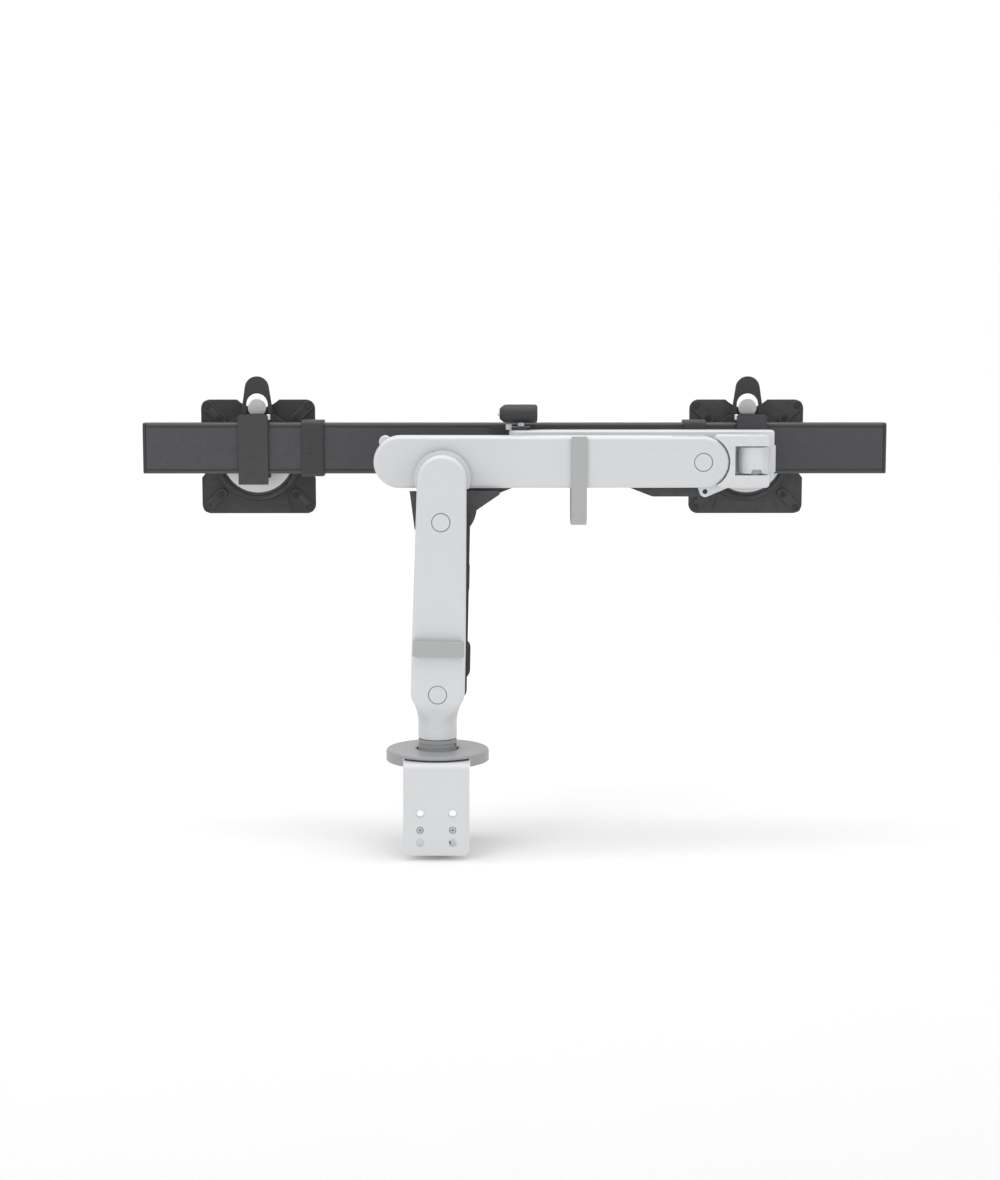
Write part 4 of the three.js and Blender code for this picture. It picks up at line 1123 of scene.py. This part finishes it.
# ---------------------------------------------------------------- crossbar
def crossbar():
    """The hollow bar: fine grooves near its edges and two open chambers."""
    middle = (bar_low + bar_high) / 2
    half_y, half_z = (bar_high.y - bar_low.y) / 2, (bar_high.z - bar_low.z) / 2
    start, end = bar_low.x, bar_high.x
    blank = prism(rounded(-half_y, -half_z, half_y, half_z, 2.6, 8), start, end, "X")
    tools = []
    for face in (-1, 1):
        for side in (-1, 1):
            y, z = face * half_y, side * (half_z - 3.8)
            groove = [(y - 0.8, z - 0.7), (y + 0.8, z - 0.7), (y + 0.8, z + 0.7), (y - 0.8, z + 0.7)]
            tools.append(prism(groove, start - 5, end + 5, "X"))
    for side in (-1, 1):
        z0, z1 = sorted((side * 7, side * (half_z - 3)))
        tools.append(block(start - 5, end + 5, -half_y + 2.5, half_y - 2.5, z0, z1))
    body = moved(cut(blank, *tools), 0, middle.y, middle.z)
    place(body, "crossbar_tube", "crossbar", "bar_paint", ("crossbar",), 0.25)
    for side in ("left", "right"):
        low, high = span("bar_end_cap_" + side)
        cap = prism(rounded(low.y, low.z, high.y, high.z, 2.6, 8), low.x, high.x, "X", 0.8, 3)
        place(cap, "bar_plug_" + side, "crossbar", "dark_plastic", ("bar_end_cap_" + side,))
        bar_clip(side)


def bar_clip(side):
    """A moulded saddle over the bar that keeps the cables in, with a thumb ridge on its face."""
    low, high = span("bar_clip_" + side)
    y, z = (bar_low.y + bar_high.y) / 2, (bar_low.z + bar_high.z) / 2
    half_y, half_z = (bar_high.y - bar_low.y) / 2 + GAP, (bar_high.z - bar_low.z) / 2 + GAP
    ridge_x = low.x + 1.6
    ridge = prism(rounded(-4.5, -5, 4.5, 5, 2.4), low.y - 0.45, low.y + 1.4, "Y", 0.7, 3)
    moved(ridge, ridge_x + 3.4, 0, z)
    ring = cut(
        prism(rounded(low.y, low.z, high.y, high.z, 4.5, 8), low.x, high.x, "X", 0.9, 3),
        block(low.x - 5, high.x + 5, y - half_y, y + half_y, z - half_z, z + half_z),
        block(low.x - 5, high.x + 5, y, high.y + 5, z - 14, z + 14),
    )
    place(join(ring, ridge), "bar_saddle_" + side, "crossbar", "dark_plastic", ("bar_clip_" + side,), 0.25)


# ---------------------------------------------------------------- screen heads
def bar_hook(side):
    """The strap that hangs over the crossbar, with two lugs that hold the tilt pin."""
    low, high = span("bar_hook_" + side)
    x = (low.x + high.x) / 2
    tilt = pivot["head_tilt_" + side]
    bar_y, bar_z = (bar_low.y + bar_high.y) / 2, (bar_low.z + bar_high.z) / 2
    half_y, half_z = (bar_high.y - bar_low.y) / 2, (bar_high.z - bar_low.z) / 2
    half, strap = (high.x - low.x) / 2, 3.4
    rear = -half_y - GAP
    front = half_y + 0.4
    section = [(rear - strap, -35.1), (rear, -35.1), (rear, half_z + GAP)]
    section += [(front, half_z + GAP), (front, -30), (front + 3.6, -30)]
    section += arc(front + 3.6 - 3, half_z + 3.9 - 3, 3, 0, math.pi / 2, 8)
    section += [(rear, half_z + 3.9), (rear, 32.7), (rear - strap, 32.7)]
    blank = prism(section, -half, half, "X", 0.7, 3)
    corners = [
        prism([(s * (half - 3.5), 34), (s * (half + 2), 34), (s * (half + 2), 28.5)], -60, 60, "Y")
        for s in (-1, 1)
    ]
    lug_plan = tapered(half_y + 3, tilt.z - bar_z, 7, tilt.y - bar_y, tilt.z - bar_z, 6.5)
    keep = block(-20, 20, half_y + 1, 60, -40, 40)
    lugs = [common(prism(lug_plan, *sorted((s * 10.5, s * half)), "X", 0.4, 2), keep) for s in (-1, 1)]
    pin = drum(2.5, -half + 1, half - 1, "X", tilt.y - bar_y, tilt.z - bar_z, 32)
    body = join(cut(blank, *corners), *lugs, pin)
    without_slivers(body)
    moved(body, x, bar_y, bar_z)
    place(body, "bar_strap_" + side, "slider_" + side, "dark_paint", ("bar_hook_" + side,), 0.2)
    outward = 1 if side == "left" else -1
    screw = grown(
        SCREWS, "silver", Count=1,
        Head_Radius=1.9, Head_Height=4.6, Crown=0.8, Socket_Share=0.5, Socket_Depth=0.9,
    )
    aimed(screw, x + outward * (half + 0.6), bar_y + rear - 0.2, bar_z + half_z + 5.6, (0, 0, 1))
    place(screw, "strap_grub_screw_" + side, "slider_" + side, "silver")


def without_slivers(mesh):
    """Drops the near-zero faces that a join can leave."""
    shape = bmesh.new()
    shape.from_mesh(mesh)
    bmesh.ops.remove_doubles(shape, verts=shape.verts, dist=1e-3)
    bmesh.ops.dissolve_degenerate(shape, edges=shape.edges, dist=1e-4)
    shape.to_mesh(mesh)
    shape.free()


def tilt_block(side):
    """The turning disc behind the plate: a stepped dark ring on a yoke that tilts on the pin."""
    tilt = pivot["head_tilt_" + side]
    low, high = span("tilt_yoke_" + side)
    radius = (high.x - low.x) / 2
    ring = turned(
        [
            (0, 8.5),
            (radius - 5.6, 8.5),
            (radius - 5.2, 9.3),
            (radius - 4.6, 9.3),
            (radius - 4.2, 8.5),
            (radius - 0.8, 8.5),
            (radius, 9.3),
            (radius, 12.4),
            (radius - 0.6, 13),
            (0, 13),
        ],
        120,
    )
    aimed(ring, 0, 0, 0, (0, 1, 0))
    brow = [(-28.5, 30), (28.5, 30), (28.5, 33.4), (17, 42), (-17, 42), (-28.5, 33.4)]
    body = cut(
        join(
            ring,
            drum(6, -10.2, 10.2, "X", 0, 0, 48, 0.4),
            block(-10.19, 10.19, 0, 9, -5, 5),
            prism(brow, 4, 9, "Y", 0.6, 2),
            drum(6, 12, 16, "Y", 0, 0, 48),
        ),
        drum(2.8, -20, 20, "X", 0, 0, 32),
    )
    moved(body, tilt.x, tilt.y, tilt.z)
    place(body, "tilt_block_" + side, "head_" + side, "dark_paint", ("tilt_yoke_" + side,), 0.3)


def screw_ring(finish, name, body, spots, direction, **sizes):
    """Single screws at chosen spots, grown one at a time and kept as one piece."""
    shape = bmesh.new()
    for x, y, z in spots:
        shape.from_mesh(aimed(grown(SCREWS, finish, Count=1, **sizes), x, y, z, direction))
    place(to_mesh(shape), name, body, finish)


def screen_plate(side):
    """The square plate for a screen: slanting hole pads, hollowed sides, a raised panel at its foot."""
    low, high = span("vesa_plate_" + side)
    tilt = pivot["head_tilt_" + side]
    half = (high.x - low.x) / 2
    y0, y1 = 13.4, high.y - tilt.y
    corners = [(-1, -1), (1, -1), (1, 1), (-1, 1)]
    pads = [
        prism(tapered(sx * 36.5, sz * 36.5, 5.3, sx * 50.2, sz * 50.2, 5.3, 20), 11.9, 14, "Y", 0.6, 3)
        for sx, sz in corners
    ]
    panel = cut(
        prism([(-32.5, -half + 1), (32.5, -half + 1), (26, -32), (-26, -32)], 12.4, 14, "Y", 0.5, 2),
        drum(HUB_RADIUS + 0.8, 10, 13.35, "Y", 0, 0, 128),
    )
    spots_out = (INNER_HOLE, OUTER_HOLE)
    holes = [drum(2.2, 0, 30, "Y", sx * at, sz * at, 24) for sx, sz in corners for at in spots_out]
    sinks = [drum(3.6, 0, 12.9, "Y", sx * at, sz * at, 24) for sx, sz in corners for at in spots_out]
    scallops = [drum(30, 10, 20, "Y", sx * 78, sz * 78, 128) for sx, sz in ((-1, 0), (1, 0), (0, 1))]
    body = cut(
        join(prism(rounded(-half, -half, half, half, 9, 12), y0, y1, "Y", 0.7, 3), *pads, panel),
        *holes,
        *sinks,
        *scallops,
        drum(6.4, 0, 30, "Y", 0, 0, 48),
    )
    moved(body, tilt.x, tilt.y, tilt.z)
    place(body, "screen_plate_" + side, "plate_" + side, "dark_paint", ("vesa_plate_" + side,), 0.3)
    for at, label, share in ((INNER_HOLE, "plate_screws_", 0.62), (OUTER_HOLE, "plate_plugs_", 0.2)):
        spots = [(tilt.x + sx * at, tilt.y + 13.6, tilt.z + sz * at) for sx, sz in corners]
        screw_ring(
            "dark_plastic", label + side, "plate_" + side, spots, (0, -1, 0),
            Head_Radius=2.9, Head_Height=1.4, Crown=0.7, Socket_Share=share, Socket_Depth=0.9,
        )


def silver_disc(side):
    eased("hub_disc_" + side, "silver_hub_" + side, "head_" + side, "silver", 0.15)


def release(side):
    """The release lever's arch, hinged on the turning disc, and the tongue that shows through it."""
    low, high = span("release_lever_" + side)
    tilt = pivot["head_tilt_" + side]
    y0, y1 = low.y - tilt.y, high.y - tilt.y
    outline = [(-15.4, 42.3), (-10.6, 42.3), (-10.6, 52)] + arc(0, 52, 10.6, math.pi, 0, 32)
    outline += [(10.6, 42.3), (15.4, 42.3), (15.2, 46.5)] + arc(0, 67.6, 11.9, 0.12, math.pi - 0.12, 32)
    outline += [(-15.2, 46.5)]
    body = prism(outline, y0, y1, "Y", 0.7, 3)
    moved(body, tilt.x, tilt.y, tilt.z)
    place(body, "release_arch_" + side, "release_" + side, "dark_plastic", ("release_lever_" + side,))
    eased("lever_tongue_" + side, "release_tongue_" + side, "head_" + side, "silver", 0.5, 3)


# ---------------------------------------------------------------- the stage
def stage():
    floor_z = cad_box[0][2] - 0.0005
    back, bend = 1.1, 0.5
    curve = [(-3.2, floor_z), (back, floor_z)]
    turns = [i * math.pi / 40 for i in range(1, 21)]
    curve += [(back + bend * math.sin(a), floor_z + bend - bend * math.cos(a)) for a in turns]
    curve += [(back + bend, 3.4)]
    shape = bmesh.new()
    rows = [[shape.verts.new((x, y, z)) for y, z in curve] for x in (-4, 4)]
    for i in range(len(curve) - 1):
        shape.faces.new((rows[0][i], rows[1][i], rows[1][i + 1], rows[0][i + 1]))
    mesh = to_mesh(shape)
    mesh.shade_smooth()
    sweep = bpy.data.objects.new("pale_sweep", mesh)
    scene.collection.objects.link(sweep)
    material, tree, shader, where = base_material("pale backdrop paint")
    grained = placed_group(tree, GRAIN, where, Grain_Scale=40.0, Roughness=0.85, Tone=0.01)
    wire(tree, toned(tree, (0.93, 0.93, 0.93), grained.outputs["Tone"]), shader.inputs["Base Color"])
    wire(tree, grained.outputs["Roughness"], shader.inputs["Roughness"])
    mesh.materials.append(material)


def soft_light(name, place_at, target, size, watts, colour=(1, 1, 1)):
    data = bpy.data.lights.new(name, "AREA")
    data.shape = "RECTANGLE"
    data.size, data.size_y = size
    data.energy = watts
    data.color = colour
    lamp = bpy.data.objects.new(name, data)
    lamp.location = place_at
    lamp.rotation_euler = (Vector(target) - Vector(place_at)).to_track_quat("-Z", "Y").to_euler()
    scene.collection.objects.link(lamp)


def lighting():
    world = bpy.data.worlds.new("studio air")
    world.use_nodes = True
    world.node_tree.nodes["Background"].inputs[0].default_value = (1.0, 1.0, 1.0, 1)
    world.node_tree.nodes["Background"].inputs[1].default_value = 0.52
    scene.world = world
    middle = (0.07, 0.04, 0.2)
    soft_light("overhead_bank", (0.1, -0.5, 2.2), middle, (2.4, 1.8), 18)
    soft_light("key_bank", (-1.6, -1.9, 1.2), middle, (1.2, 1.4), 11)
    soft_light("fill_bank", (1.8, -1.7, 0.7), middle, (1.2, 1.4), 5.5)
    soft_light("backdrop_wash", (0.0, 0.2, 1.9), (0.0, 1.5, 0.4), (3.0, 0.6), 16)
    scene.view_settings.view_transform = "Standard"


def camera():
    data = bpy.data.cameras.new("eye")
    data.sensor_width = 36
    data.lens = 65.24
    eye = bpy.data.objects.new("eye", data)
    eye.location = (0.0514, -2.0, 0.4)
    eye.rotation_euler = (math.radians(90 - 6.786), 0, math.radians(-0.225))
    scene.collection.objects.link(eye)
    scene.camera = eye


# ---------------------------------------------------------------- everything in its place
clamp_plate()
cover_disc()
post_collar()
clamp_under_desk()
foot_block()
lower_link()
upper_arm()
arm_cable_loop()
level_rod()
wrist_fork()
front_bar()
bar_cradle()
lock_grip()
crossbar()
for side in ("left", "right"):
    bar_hook(side)
    tilt_block(side)
    screen_plate(side)
    silver_disc(side)
    release(side)

# The plain CAD pieces that stay, with their finish put in their own slot
slot_of = {row["node"]: row["material_slot"] for row in frame["record"]["subparts"]}
for name, thing in nodes.items():
    if thing.hide_render:
        continue
    if not thing.data.materials:
        thing.data.materials.append(None)
    for i in range(len(thing.material_slots)):
        thing.material_slots[i].material = finishes[slot_of[name]]

stage()
lighting()
camera()
